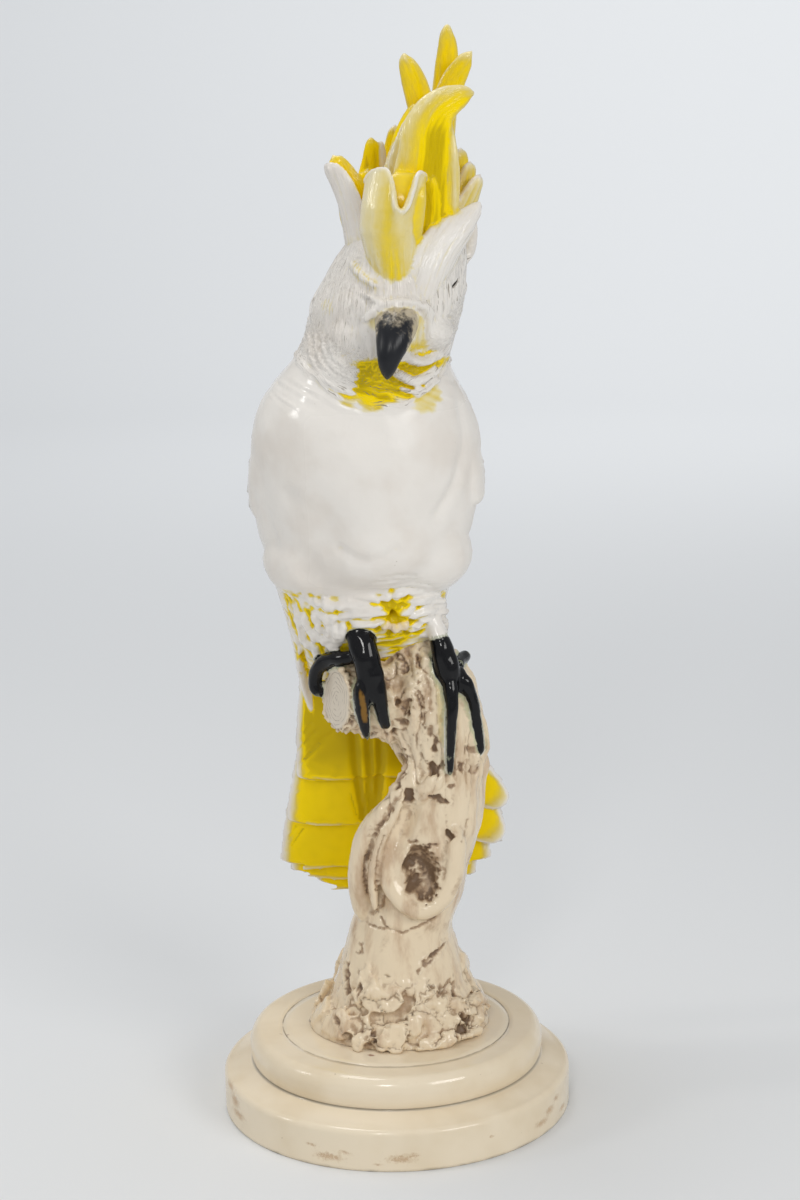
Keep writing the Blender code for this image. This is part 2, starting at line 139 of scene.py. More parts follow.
# The camera stands a little above the bird's breast and looks down 12 degrees, rolled by a degree.
portrait = bpy.data.cameras.new("portrait_camera")
portrait.lens = 70
portrait.sensor_width = 36
camera = bpy.data.objects.new("portrait_camera", portrait)
look = Vector((0, cos(radians(12.31)), -sin(radians(12.31))))
camera.matrix_world = (Matrix.Translation((0.0074, -1.270, 0.573))
                       @ look.to_track_quat('-Z', 'Y').to_matrix().to_4x4()
                       @ Matrix.Rotation(radians(-1.18), 4, 'Z'))
bpy.context.scene.collection.objects.link(camera)
bpy.context.scene.camera = camera


# The plinth: turned in two steps, a lower step with an upright side and a fuller disc above it, with a
# ring line cut in the flat top. It is coated in cream glaze, rubbed and chipped along the lower step.
PLINTH_RADIUS = 0.100
STEP_SIDE_HEIGHT = 0.0205
STEP_EDGE_ROUND = 0.0035
STEP_TOP_RISE = 0.0047
SEAM_HEIGHT = STEP_SIDE_HEIGHT + STEP_EDGE_ROUND + STEP_TOP_RISE
FOOT_CHAMFER = 0.0008
DISC_RADIUS = 0.0845
DISC_HEIGHT = 0.0178
DISC_TOP_ROUND = 0.0065
DISC_GROOVE = 0.0018
RING_RADIUS = 0.0656
RING_WIDTH = 0.0010
RING_DEPTH = 0.0007
PLINTH_CREAM = (0.85, 0.735, 0.56, 1.0)
PLINTH_CREAM_DEEP = (0.77, 0.64, 0.45, 1.0)
BARE_CLAY_OCHRE = (0.42, 0.22, 0.09, 1.0)
SEAM_DIRT_AND_FOOT_SHADE = (0.20, 0.155, 0.10, 1.0)
SPECK_BROWN = (0.46, 0.35, 0.22, 1.0)
RUBBED_OCHRE = (0.62, 0.46, 0.28, 1.0)
STAIN_RED = (0.27, 0.10, 0.06, 1.0)

# Rubbed and chipped places on the lower step: bearing from the front, height, half length, half height
STEP_SCUFFS = (
    (-67, 0.0165, 0.0060, 0.0035), (-64, 0.0100, 0.0075, 0.0022), (-72, 0.0215, 0.0060, 0.0016),
    (-22, 0.0066, 0.0075, 0.0020), (-17, 0.0103, 0.0028, 0.0011), (-28, 0.0120, 0.0030, 0.0009),
    (1, 0.0078, 0.0070, 0.0021), (5, 0.0098, 0.0030, 0.0009), (-6, 0.0045, 0.0022, 0.0008),
    (54, 0.0083, 0.0065, 0.0017), (59, 0.0122, 0.0045, 0.0022), (64, 0.0160, 0.0035, 0.0016),
    (70, 0.0060, 0.0050, 0.0015), (31, 0.0130, 0.0020, 0.0008), (118, 0.0100, 0.0080, 0.0024),
    (160, 0.0060, 0.0060, 0.0018), (-112, 0.0130, 0.0065, 0.0020), (-150, 0.0070, 0.0080, 0.0021),
)

# Small stains and a red-brown chip on the disc's flat top: x, y, half length, half width
TOP_STAINS = ((-0.0163, -0.0504, 0.0042, 0.0013), (-0.0520, 0.0306, 0.0009, 0.0007),
              (-0.0607, -0.0184, 0.0022, 0.0006), (0.0430, -0.0150, 0.0050, 0.0040),
              (0.0210, 0.0580, 0.0030, 0.0010))


def quarter_arc(centre, across, up, start, end, steps):
    """Points of a quarter ellipse in the profile plane, from one angle to another in degrees."""
    angles = [radians(start + (end - start) * step / steps) for step in range(steps + 1)]
    return [(centre[0] + across * cos(angle), centre[1] + up * sin(angle)) for angle in angles]


def evenly(start, end, count):
    """Points between two ends, the ends left out."""
    return [(start[0] + (end[0] - start[0]) * step / count, start[1] + (end[1] - start[1]) * step / count)
            for step in range(1, count)]


def plinth_line():
    """Half section, from the middle of the top out and down to the middle of the underside."""
    top = SEAM_HEIGHT + DISC_HEIGHT
    line = [(0.0, top)] + evenly((0.0, top), (RING_RADIUS, top), 14)
    line += [(RING_RADIUS - RING_WIDTH / 2, top), (RING_RADIUS, top - RING_DEPTH),
             (RING_RADIUS + RING_WIDTH / 2, top)]
    line += evenly((RING_RADIUS, top), (DISC_RADIUS - DISC_TOP_ROUND, top), 4)
    waist = SEAM_HEIGHT + DISC_HEIGHT / 2
    line += quarter_arc((DISC_RADIUS - DISC_TOP_ROUND, waist), DISC_TOP_ROUND, DISC_HEIGHT / 2, 90, 0, 12)
    line += quarter_arc((DISC_RADIUS - DISC_GROOVE, waist), DISC_GROOVE, DISC_HEIGHT / 2, 0, -90, 10)[1:]
    shoulder = (PLINTH_RADIUS - STEP_EDGE_ROUND, STEP_SIDE_HEIGHT + STEP_EDGE_ROUND)
    line += evenly(line[-1], shoulder, 6)
    line += quarter_arc((shoulder[0], STEP_SIDE_HEIGHT), STEP_EDGE_ROUND, STEP_EDGE_ROUND, 90, 0, 8)
    line += evenly((PLINTH_RADIUS, STEP_SIDE_HEIGHT), (PLINTH_RADIUS, FOOT_CHAMFER), 16)
    line += [(PLINTH_RADIUS, FOOT_CHAMFER), (PLINTH_RADIUS - FOOT_CHAMFER, 0.0)]
    line += evenly((PLINTH_RADIUS, 0.0), (0.0, 0.0), 8) + [(0.0, 0.0)]
    return line


def turned_plinth():
    turning = bmesh.new()
    verts = [turning.verts.new((radius, 0.0, height)) for radius, height in plinth_line()]
    edges = [turning.edges.new(pair) for pair in zip(verts, verts[1:])]
    bmesh.ops.spin(turning, geom=verts + edges, cent=(0, 0, 0), axis=(0, 0, 1), angle=2 * pi, steps=220,
                   use_merge=True)
    bmesh.ops.remove_doubles(turning, verts=turning.verts, dist=0.00001)
    bmesh.ops.recalc_face_normals(turning, faces=turning.faces)
    chipped = turning.verts.layers.float.new("chipped")
    stained = turning.verts.layers.float.new("stained")
    for vert in turning.verts:
        x, y, z = vert.co
        radius = sqrt(x * x + y * y)
        if radius > DISC_RADIUS and z > 0.0005:
            bearing = atan2(x, -y)
            for place, height, half_length, half_height in STEP_SCUFFS:
                along = (bearing - radians(place) + pi) % (2 * pi) - pi
                off = (along * PLINTH_RADIUS / half_length) ** 2 + ((z - height) / half_height) ** 2
                vert[chipped] = max(vert[chipped], exp(-0.7 * off))
        if z > SEAM_HEIGHT + DISC_HEIGHT - 0.0001:
            for place_x, place_y, half_length, half_width in TOP_STAINS:
                off = ((x - place_x) / half_length) ** 2 + ((y - place_y) / half_width) ** 2
                vert[stained] = max(vert[stained], exp(-0.7 * off))
        sag = 0.00012 + 0.00012 * noise.noise(Vector((x, y, z)) * 38)
        sag += 0.00018 * vert[chipped]
        if radius > 0.001 and z > 0.0005:
            vert.co.x -= x / radius * sag * min(1.0, radius / 0.05)
            vert.co.y -= y / radius * sag * min(1.0, radius / 0.05)
    mesh = bpy.data.meshes.new("turned_plinth")
    turning.to_mesh(mesh)
    turning.free()
    mesh.polygons.foreach_set("use_smooth", [True] * len(mesh.polygons))
    plinth = bpy.data.objects.new("turned_plinth", mesh)
    bpy.context.scene.collection.objects.link(plinth)
    return plinth


def object_noise(tree, scale, detail=3.0, roughness=0.55, stretch=None):
    """Noise that is fixed to the piece, stretched along its axes if asked."""
    place = add_node(tree, "ShaderNodeTexCoord").outputs["Object"]
    if stretch:
        mapping = add_node(tree, "ShaderNodeMapping")
        mapping.inputs["Scale"].default_value = stretch
        tree.links.new(place, mapping.inputs["Vector"])
        place = mapping.outputs["Vector"]
    grain = add_node(tree, "ShaderNodeTexNoise")
    feed(tree, grain.inputs["Scale"], scale)
    grain.inputs["Detail"].default_value = detail
    grain.inputs["Roughness"].default_value = roughness
    tree.links.new(place, grain.inputs["Vector"])
    return grain.outputs["Fac"]


def sum_up(tree, operation, first, second=0.0, third=0.0, clamp=False):
    step = add_node(tree, "ShaderNodeMath", operation=operation, use_clamp=clamp)
    for socket, value in zip(step.inputs, (first, second, third)):
        feed(tree, socket, value)
    return step.outputs[0]


def fade(tree, value, low, high):
    """0 below one value and 1 above another, smooth between them."""
    step = add_node(tree, "ShaderNodeMapRange", interpolation_type='SMOOTHSTEP')
    for socket, given in zip(step.inputs[:3], (value, low, high)):
        feed(tree, socket, given)
    return step.outputs["Result"]


def laid_over(tree, under, over, mask, cover=None):
    """One colour over another where the mask is 1, as dense there as its cover."""
    if cover:
        mask = sum_up(tree, 'MULTIPLY', mask, cover)
    layer = add_node(tree, "ShaderNodeMix", data_type='RGBA')
    for socket, given in zip((layer.inputs[0], layer.inputs[6], layer.inputs[7]), (mask, under, over)):
        feed(tree, socket, given)
    return layer.outputs[2]


def note(tree, name):
    """A value that is kept on the piece's own points."""
    return add_node(tree, "ShaderNodeAttribute", attribute_name=name).outputs["Fac"]


def new_group(name, inputs, outputs):
    group = bpy.data.node_groups.new(name, 'ShaderNodeTree')
    for socket_name, start in inputs:
        made = group.interface.new_socket(socket_name, in_out='INPUT', socket_type='NodeSocketFloat')
        made.default_value = start
    for socket_name in outputs:
        group.interface.new_socket(socket_name, in_out='OUTPUT', socket_type='NodeSocketFloat')
    return group, group.nodes.new("NodeGroupInput").outputs, group.nodes.new("NodeGroupOutput").inputs


def ragged_edge_group():
    """Turns a soft value into a patch whose edge wanders, as brushed or rubbed glaze does."""
    group, given, wanted = new_group(
        "ragged_edge", (("Value", 0.0), ("Level", 0.5), ("Softness", 0.1), ("Raggedness", 0.3),
                        ("Scale", 400.0)),
        ("Mask",))
    wander = sum_up(group, 'SUBTRACT', object_noise(group, given["Scale"], 4.0, 0.6), 0.5)
    moved = sum_up(group, 'MULTIPLY_ADD', wander, given["Raggedness"], given["Value"])
    low = sum_up(group, 'SUBTRACT', given["Level"], given["Softness"])
    high = sum_up(group, 'ADD', given["Level"], given["Softness"])
    group.links.new(fade(group, moved, low, high), wanted["Mask"])
    return group


def glaze_skin_group():
    """The skin of a fired glaze: it pools and thins, so that its gloss and its level wander."""
    group, given, wanted = new_group(
        "glaze_skin", (("Gloss", 0.14), ("Wander", 0.10), ("Scale", 60.0)), ("Roughness", "Height"))
    broad = object_noise(group, given["Scale"], 3.0, 0.5)
    fine = object_noise(group, sum_up(group, 'MULTIPLY', given["Scale"], 9.0), 2.0, 0.5)
    dull = fade(group, broad, 0.42, 0.72)
    rough = sum_up(group, 'MULTIPLY_ADD', dull, given["Wander"], given["Gloss"])
    group.links.new(rough, wanted["Roughness"])
    group.links.new(sum_up(group, 'MULTIPLY_ADD', fine, 0.12, broad), wanted["Height"])
    return group


ragged_edge = ragged_edge_group()
glaze_skin = glaze_skin_group()


def patch(tree, value, level=0.5, softness=0.1, raggedness=0.3, scale=400.0):
    edge = add_node(tree, "ShaderNodeGroup", node_tree=ragged_edge)
    for name, given in (("Value", value), ("Level", level), ("Softness", softness),
                        ("Raggedness", raggedness), ("Scale", scale)):
        feed(tree, edge.inputs[name], given)
    return edge.outputs["Mask"]


def glaze_finish(tree, shader, gloss, wander, scale, rough_patch=None, relief=None, strength=0.25):
    """Sets the skin of the glaze on a shader: its gloss, duller in a patch, and its level."""
    skin = add_node(tree, "ShaderNodeGroup", node_tree=glaze_skin)
    skin.inputs["Gloss"].default_value = gloss
    skin.inputs["Wander"].default_value = wander
    skin.inputs["Scale"].default_value = scale
    rough, height = skin.outputs["Roughness"], skin.outputs["Height"]
    if rough_patch:
        rough = sum_up(tree, 'MULTIPLY_ADD', rough_patch, 0.4, rough, clamp=True)
    if relief:
        height = sum_up(tree, 'ADD', height, relief)
    bump = add_node(tree, "ShaderNodeBump")
    bump.inputs["Strength"].default_value = strength
    bump.inputs["Distance"].default_value = 0.001
    tree.links.new(height, bump.inputs["Height"])
    tree.links.new(bump.outputs["Normal"], shader.inputs["Normal"])
    tree.links.new(rough, shader.inputs["Roughness"])


def rubbed_cream_glaze():
    material, tree, shader = new_material("rubbed_cream_glaze")
    deeper = fade(tree, object_noise(tree, 22.0), 0.42, 0.75)
    colour = laid_over(tree, PLINTH_CREAM, PLINTH_CREAM_DEEP, deeper)
    speck = patch(tree, object_noise(tree, 210.0, 2.0), 0.77, 0.02, 0.1, 900.0)
    colour = laid_over(tree, colour, SPECK_BROWN, speck, 0.45)
    scuffed = patch(tree, note(tree, "chipped"), 0.72, 0.10, 2.6, 1100.0)
    rubbed = patch(tree, note(tree, "chipped"), 0.45, 0.25, 1.6, 420.0)
    colour = laid_over(tree, colour, RUBBED_OCHRE, rubbed, 0.40)
    colour = laid_over(tree, colour, BARE_CLAY_OCHRE, scuffed, 0.45)
    stain = patch(tree, note(tree, "stained"), 0.45, 0.10, 0.35, 500.0)
    colour = laid_over(tree, colour, STAIN_RED, stain, 0.75)

    # Dirt lies in the ring line and in the seam under the disc, and a patchy dark band along the foot is
    # painted shade where the plinth meets the floor
    place = add_node(tree, "ShaderNodeSeparateXYZ")
    tree.links.new(add_node(tree, "ShaderNodeTexCoord").outputs["Object"], place.inputs[0])
    across = sum_up(tree, 'SQRT', sum_up(tree, 'ADD', sum_up(tree, 'POWER', place.outputs["X"], 2.0),
                                         sum_up(tree, 'POWER', place.outputs["Y"], 2.0)))
    from_ring = sum_up(tree, 'ABSOLUTE', sum_up(tree, 'SUBTRACT', across, RING_RADIUS - 0.00012))
    from_seam = sum_up(tree, 'ABSOLUTE', sum_up(tree, 'SUBTRACT', place.outputs["Z"], SEAM_HEIGHT))
    in_seam = sum_up(tree, 'MULTIPLY', fade(tree, from_seam, 0.0007, 0.0001),
                     fade(tree, across, DISC_RADIUS + 0.002, DISC_RADIUS - 0.001))
    worn = object_noise(tree, 90.0, 3.0)
    in_ring = sum_up(tree, 'MULTIPLY', fade(tree, from_ring, 0.00055, 0.0002), fade(tree, worn, 0.30, 0.62))
    # Painted shade: darker within two millimetres of the floor, broken up by the worn noise
    foot_shade = sum_up(tree, 'MULTIPLY', fade(tree, place.outputs["Z"], 0.0022, 0.0003),
                     fade(tree, worn, 0.4, 0.7))
    dirt_and_foot_shade = sum_up(tree, 'MAXIMUM', sum_up(tree, 'MAXIMUM', in_ring, sum_up(tree, 'MULTIPLY', in_seam, 0.8)),
                  sum_up(tree, 'MULTIPLY', foot_shade, 0.6))
    colour = laid_over(tree, colour, SEAM_DIRT_AND_FOOT_SHADE, dirt_and_foot_shade, 0.75)
    tree.links.new(colour, shader.inputs["Base Color"])
    shader.inputs["Specular IOR Level"].default_value = 0.45
    glaze_finish(tree, shader, 0.10, 0.10, 28.0, scuffed, sum_up(tree, 'MULTIPLY', scuffed, -0.25), 0.22)
    return material


plinth = turned_plinth()
plinth.data.materials.append(rubbed_cream_glaze())
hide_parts("plinth")
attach(plinth, "root")


# The trunk: clay built up into a leaning stem with a cut branch stub, a strand that climbs its left
# side, a swollen knot with a torn hollow, and slabs pressed round the foot. Places are in millimetres
# above the plinth's top, as the maker would measure them, and become metres when the clay is fused.
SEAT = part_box("cockatoo_on_trunk")[0].z
clay = bmesh.new()
NOTES = ("cream", "yellow", "black", "leaf", "along", "across")

# The stem from the foot up: x, y, z, half width, half depth
STEM = (
    (2, 2, -6, 53, 47), (2, 2, 3, 51, 46), (4, 2, 11, 44, 42), (4, 2, 24, 39, 37), (4, 2, 42, 33, 33),
    (5, 2, 61, 29, 30), (10, 2, 74, 29, 30), (14, 2, 86, 28, 30), (16, 2, 97, 28, 31), (20, 1, 109, 28, 30),
    (25, 0, 121, 27, 29), (28, 0, 133, 25, 27), (31, 0, 144, 22, 25), (30, 0, 153, 24, 25),
    (27, 0, 168, 27, 26), (25, 0, 182, 28, 27), (22, 0, 198, 28, 26), (19, 2, 214, 23, 22),
    (13, 5, 228, 15, 16), (12, 7, 238, 9, 9),
)
BRANCH = ((26, 4, 189, 22, 27), (4, -4, 191, 19, 25), (-15, -11.5, 197, 17, 19),
          (-29, -19.5, 198, 15.5, 18.5))
BRANCH_PITH = (-29, -19.5, 198)
BRANCH_WAY = Vector((-14, -8, 1)).normalized()
STRAND = (
    (22, -16, 172, 5, 5), (12, -18, 152, 7, 6), (1, -19, 136, 7, 7), (-10, -17, 122, 8, 8),
    (-16, -14, 108, 8, 9),
    (-18, -13, 93, 8, 9), (-17, -12, 78, 7, 8), (-16, -10, 64, 5, 6),
)
THIN_STRAND = ((9, -24, 143, 2, 3), (-1, -26, 128, 3, 3), (-8, -26, 112, 3, 4), (-11, -25, 92, 3, 4),
               (-10, -23, 74, 2, 3))

# Slabs pressed round the foot: bearing from the front, half width, half height, reach
FOOT_SLABS = (
    (-75, 11, 9, 43), (66, 11, 10, 44), (105, 12, 10, 43), (140, 13, 11, 41), (178, 14, 10, 41),
    (-145, 13, 11, 41), (-112, 12, 10, 43),
)
# Torn flakes laid over them: bearing, height, half width, half height, how proud of the stem, turn
FOOT_FLAKES = (
    (-78, 9, 7, 9, 2.0, 0), (-50, 9, 10, 9, 2.6, 0), (-28, 8, 10, 9, 3.4, 0), (-32, 33, 7, 10, 1.0, 10),
    (-13, 26, 12, 8, 1.4, 25), (-3, 6, 8, 8, 3.0, 0), (-12, 3, 5, 4, 3.6, 0), (7, 13, 5, 8, 2.2, -20),
    (26, 20, 12, 15, 2.0, 10), (22, 3, 12, 4.5, 2.6, 0), (68, 17, 9, 12, 2.4, 0), (40, 7, 7, 7, 2.2, 0),
    (52, 3, 6, 4, 3.0, 0), (98, 12, 11, 11, 3.0, 0), (90, 30, 8, 9, 1.5, 10), (126, 20, 11, 12, 2.5, -10),
    (150, 8, 12, 8, 3.0, 0), (178, 18, 12, 13, 2.5, 0), (165, 36, 9, 8, 1.5, 0), (-155, 10, 11, 10, 3.0, 0),
    (-130, 22, 11, 12, 2.5, 10), (-105, 10, 11, 10, 3.0, 0), (-140, 38, 9, 8, 1.5, 0),
    (112, 38, 8, 8, 1.5, 0),
)
# The smooth lip that swells round the torn hollow of the knot, as (x, z) seen from the front
KNOT_LIP = ((30, 156), (18, 145), (6, 132), (0, 115), (-1, 98), (4, 85), (14, 78), (25, 81), (32, 93),
            (35, 108),
            (36, 126))


def on_curve(stations, share):
    """A station between the given ones, on a smooth curve, and the curve's direction there."""
    points = np.array(stations, dtype=float)
    steps = np.linalg.norm(np.diff(points[:, :3], axis=0), axis=1)
    marks = np.concatenate(([0.0], np.cumsum(steps))) / steps.sum()
    slopes = np.gradient(points, marks, axis=0)
    span = min(int(np.searchsorted(marks, share, side='right')) - 1, len(points) - 2)
    length = marks[span + 1] - marks[span]
    u = (share - marks[span]) / length
    start, end = points[span], points[span + 1]
    pull, push = slopes[span] * length, slopes[span + 1] * length
    value = (2 * u**3 - 3 * u**2 + 1) * start + (u**3 - 2 * u**2 + u) * pull
    value += (3 * u**2 - 2 * u**3) * end + (u**3 - u**2) * push
    slope = (6 * u**2 - 6 * u) * (start - end) + (3 * u**2 - 4 * u + 1) * pull + (3 * u**2 - 2 * u) * push
    return value, Vector(slope[:3]).normalized()


def at_height(stations, height):
    """The middle and the half sizes of an upright form at a height."""
    upward = np.array(sorted(stations, key=lambda station: station[2]), dtype=float)
    return [np.interp(height, upward[:, 2], upward[:, column]) for column in (0, 1, 3, 4)]


def front_of(stations, x, height):
    """How far forward the surface of an upright form lies, at x and a height."""
    middle_x, middle_y, half_width, half_depth = at_height(stations, height)
    share = min(0.97, abs(x - middle_x) / half_width)
    return middle_y - half_depth * sqrt(1 - share**2)


def section(stations, share, across, across_end, level):
    """Where a drawn-out form is at a share of its length: its middle, its two ways and its half sizes."""
    station, along = on_curve(stations, share)
    if level:
        along = Vector((0, 0, 1))
    width_way = Vector(across).lerp(Vector(across_end or across), share)
    width_way = (width_way - along * width_way.dot(along)).normalized()
    return Vector(station[:3]), width_way, along.cross(width_way), station[3], station[4]


def skin_place(middle, width_way, thick_way, half_width, half_thick, cup, around):
    place = middle + width_way * (half_width * cos(around))
    return place + thick_way * (half_thick * sin(around) + cup * half_width * cos(around) ** 2)


def start_form():
    """An empty form, with room for what is noted about its glaze."""
    form = bmesh.new()
    return form, {name: form.verts.layers.float.new(name) for name in NOTES}


def press_on(form):
    """Adds a shaped form to the clay."""
    shaped = bpy.data.meshes.new("shaped_form")
    form.to_mesh(shaped)
    form.free()
    clay.from_mesh(shaped)
    bpy.data.meshes.remove(shaped)


def draw_out(stations, across=(1, 0, 0), across_end=None, cup=0.0, ends=0.12, sides=18, rings=24,
             level=False, **glaze):
    """A ball of clay drawn out along its stations, each (x, y, z, half width, half thickness).

    `cup` bends both long edges to one side, `ends` is the share of the length that rounds off, 0 for flat
    ends, and `level` keeps the sections of an upright form level. `glaze` says how it is glazed, each a
    value or a rule that is given the share of the length and the place around.
    """
    form, notes = start_form()
    bmesh.ops.create_uvsphere(form, u_segments=sides, v_segments=rings, radius=1.0)
    length = sum((Vector(b[:3]) - Vector(a[:3])).length for a, b in zip(stations, stations[1:]))
    sections = []
    for ring in range(rings + 1):
        share, swell = ring / rings, 1.0
        if ends:
            near_end = min(1.0, share / ends, (1 - share) / ends)
            swell = sqrt(1 - (1 - near_end) ** 2)
        else:
            share = min(1.0, max(0.0, (ring - 1) / (rings - 2)))
        middle, width_way, thick_way, half_width, half_thick = section(
            stations, share, across, across_end, level)
        swell *= 0 < ring < rings
        sections.append((share, middle, width_way, thick_way, half_width * swell, half_thick * swell))
    for vert in form.verts:
        ring = round(acos(max(-1.0, min(1.0, vert.co.z))) / pi * rings)
        around = atan2(vert.co.y, vert.co.x)
        share, middle, width_way, thick_way, half_width, half_thick = sections[ring]
        vert.co = skin_place(middle, width_way, thick_way, half_width, half_thick, cup, around)
        vert[notes["along"]] = share * length
        vert[notes["across"]] = half_width * cos(around)
        for name, rule in glaze.items():
            vert[notes[name]] = rule(share, around) if callable(rule) else rule
    press_on(form)


def torn_flake(bearing, height, half_width, half_height, proud, turn):
    """A flat flake with a torn edge, laid on the foot of the stem."""
    rising_stem = np.array(STEM, dtype=float)
    half_x, half_y = (np.interp(height, rising_stem[:, 2], rising_stem[:, column]) for column in (3, 4))
    way, lean = radians(bearing), radians(32 - 0.45 * height)
    outward = Vector((sin(way) * cos(lean), -cos(way) * cos(lean), sin(lean)))
    beside = Vector((cos(way), sin(way), 0))
    upward = outward.cross(beside)
    middle = Vector((3 + half_x * sin(way), 2 - half_y * cos(way), height))
    middle += outward * (proud - 1.0)
    form, notes = start_form()
    bmesh.ops.create_uvsphere(form, u_segments=36, v_segments=14, radius=1.0)
    for vert in form.verts:
        around = atan2(vert.co.y, vert.co.x) + radians(turn)
        edge = Vector((cos(around), sin(around), bearing * 0.37))
        ragged = 1 + 0.42 * noise.noise(edge * 1.7) + 0.26 * noise.noise(edge * 4.3)
        wide = beside * (vert.co.x * half_width * ragged) + upward * (vert.co.y * half_height * ragged)
        thick = max(-1.0, min(1.0, 4.0 * vert.co.z)) * 2.0 + 0.9 * vert.co.y * sin(bearing) + 0.8 * vert.co.x
        thick += noise.noise(Vector(wide) * 0.16 + Vector((bearing, 0, 0)))
        vert.co = middle + wide + outward * thick
        vert[notes["cream"]] = 1.0
    press_on(form)


def lump(centre, radii, turn=0.0, lean=0.0, **glaze):
    """A pressed-on lump of clay, turned about the upright axis and leaned about X, in degrees."""
    placed = Matrix.Translation(centre)
    placed @= Matrix.Rotation(radians(turn), 4, 'Z')
    placed @= Matrix.Rotation(radians(lean), 4, 'X')
    placed @= Matrix.Diagonal((*radii, 1.0))
    form, notes = start_form()
    bmesh.ops.create_uvsphere(form, u_segments=20, v_segments=14, radius=1.0, matrix=placed)
    for vert in form.verts:
        for name, value in glaze.items():
            vert[notes[name]] = value
    press_on(form)


def roll(points, radius, **glazing):
    """A thin round roll of clay through the given points."""
    draw_out([(*point, radius, radius) for point in points], across=(0.2, 0.3, 1), sides=10, rings=14,
             **glazing)


def trunk():
    draw_out(STEM, ends=0.0, sides=40, rings=60, level=True, cream=1.0)
    draw_out(BRANCH, across=(0.37, -0.93, 0), ends=0.0, sides=30, rings=20, cream=1.0)
    draw_out(STRAND, ends=0.08, rings=30, cream=1.0)
    draw_out(THIN_STRAND, ends=0.08, rings=30, cream=1.0)
    lump((13, -12, 96), (24, 20, 29), cream=1.0)
    for bearing, half_width, half_height, reach in FOOT_SLABS:
        rightward, forward = reach * sin(radians(bearing)), 0.94 * reach * cos(radians(bearing))
        lump((2 + rightward, 2 - forward, 0.7 * half_height), (half_width, 4.5, half_height), bearing, -34,
             cream=1.0)
    for flake in FOOT_FLAKES:
        torn_flake(*flake)
    lip = [(x, front_of(STEM, x, z) - 0.5, z, 7.5, 6.5) for x, z in KNOT_LIP]
    draw_out(lip, across=(0.3, 1, 0.1), sides=20, rings=60, ends=0.12, cream=1.0)


trunk()


# The body: one hollow drawn-out form from belly to crown, its breast smoothed with a wet sponge, the
# narrow belly below it roughened into tufts of down, and the rump behind that roots the tail.
TORSO = (
    (-14, 30, 212, 26, 14), (-14, 22, 230, 36, 28), (-12, 14, 246, 42, 36), (-11.5, 8, 257, 47, 44),
    (-12, 4, 274, 52, 50), (-11, 2, 300, 59, 56), (-10, 0, 324, 62.5, 58), (-9.5, -2, 344, 62.5, 55),
    (-10, -4, 361, 57, 50), (-9, -6, 374, 49, 46), (-6.5, -9, 383, 43.5, 43), (-2, -10, 394, 41, 42),
    (1.5, -12, 405, 41, 42), (4, -13, 416, 41, 42), (8, -14, 428, 38, 40), (12, -14, 440, 35, 35),
    (15, -14, 450, 30, 29), (17, -14, 459, 20, 19),
)
BREAST_SWELLS = (
    ((-8, -16, 287), (44, 40, 30)), ((-38, -8, 276), (30, 34, 24)), ((18, -8, 278), (30, 33, 24)),
)
BELLY = (
    (-12, 0, 268, 44, 38), (-12, 1, 252, 45, 38), (-11, 4, 238, 43, 32), (-10, 12, 222, 39, 26),
    (-9, 24, 200, 36, 13),
)
RUMP = (
    (-11, 6, 300, 34, 26), (-12, 20, 270, 45, 33), (-11, 32, 240, 41, 28), (-10, 43, 208, 37, 20),
    (-8, 53, 175, 33, 11), (-6, 60, 140, 28, 6),
)

# Tufts of down across the belly, as (x, z) points on its front, and how thick each roll is
BELLY_TUFTS = (
    (((-44, 257), (-31, 254), (-19, 255), (-8, 254)), 2.6), (((-25, 257), (-13, 259), (-1, 257)), 2.2),
    (((-42, 249), (-28, 247), (-13, 250), (-1, 250)), 2.4), (((-20, 244), (-10, 243), (1, 245)), 2.4),
    (((-1, 258), (9, 260), (18, 260), (29, 254)), 2.6), (((12, 249), (17, 254), (25, 254), (33, 248)), 2.4),
    (((12, 244), (19, 248), (28, 246), (33, 242)), 2.4), (((14, 238), (21, 242), (29, 239), (33, 233)), 2.4),
    (((18, 231), (24, 236), (30, 231)), 2.4), (((-46, 248), (-44, 238), (-38, 230)), 2.6),
    (((-40, 251), (-38, 241), (-41, 228)), 2.4), (((-35, 250), (-32, 241), (-35, 227)), 2.4),
    (((-30, 246), (-28, 237), (-32, 225)), 2.4), (((-50, 252), (-48, 239), (-47, 224)), 2.6),
    (((-24, 244), (-26, 235), (-30, 220)), 2.4), (((-45, 229), (-41, 221), (-37, 216)), 2.6),
)
WHITE_RIDGE = -1.0  # a roll that stays white where yellow is brushed round it


FLANK = ((-52, 0, 268, 8, 9), (-49, 7, 247, 9, 9), (-44, 17, 226, 8, 8), (-38, 29, 203, 6, 5))
FLANK_TUFTS = (((-54, -4, 262), (-52, 2, 246), (-48, 12, 228)),
               ((-49, -4, 262), (-47, 2, 246), (-43, 12, 226)),
               ((-55, 3, 254), (-51, 10, 238), (-46, 20, 218)),
               ((-45, -6, 258), (-43, 2, 242), (-39, 14, 220)),
               ((-47, 10, 232), (-43, 18, 218), (-38, 28, 204)))
STAR = ((4, 247), ((-4, 259), (3, 262), (12, 258), (-7, 246), (17, 241), (11, 234), (1, 235), (-6, 239)))


def under_breast(share, around):
    """A little yellow brushed on the belly, below the white breast."""
    return 0.42 * min(1.0, max(0.0, (share - 0.13) / 0.1))


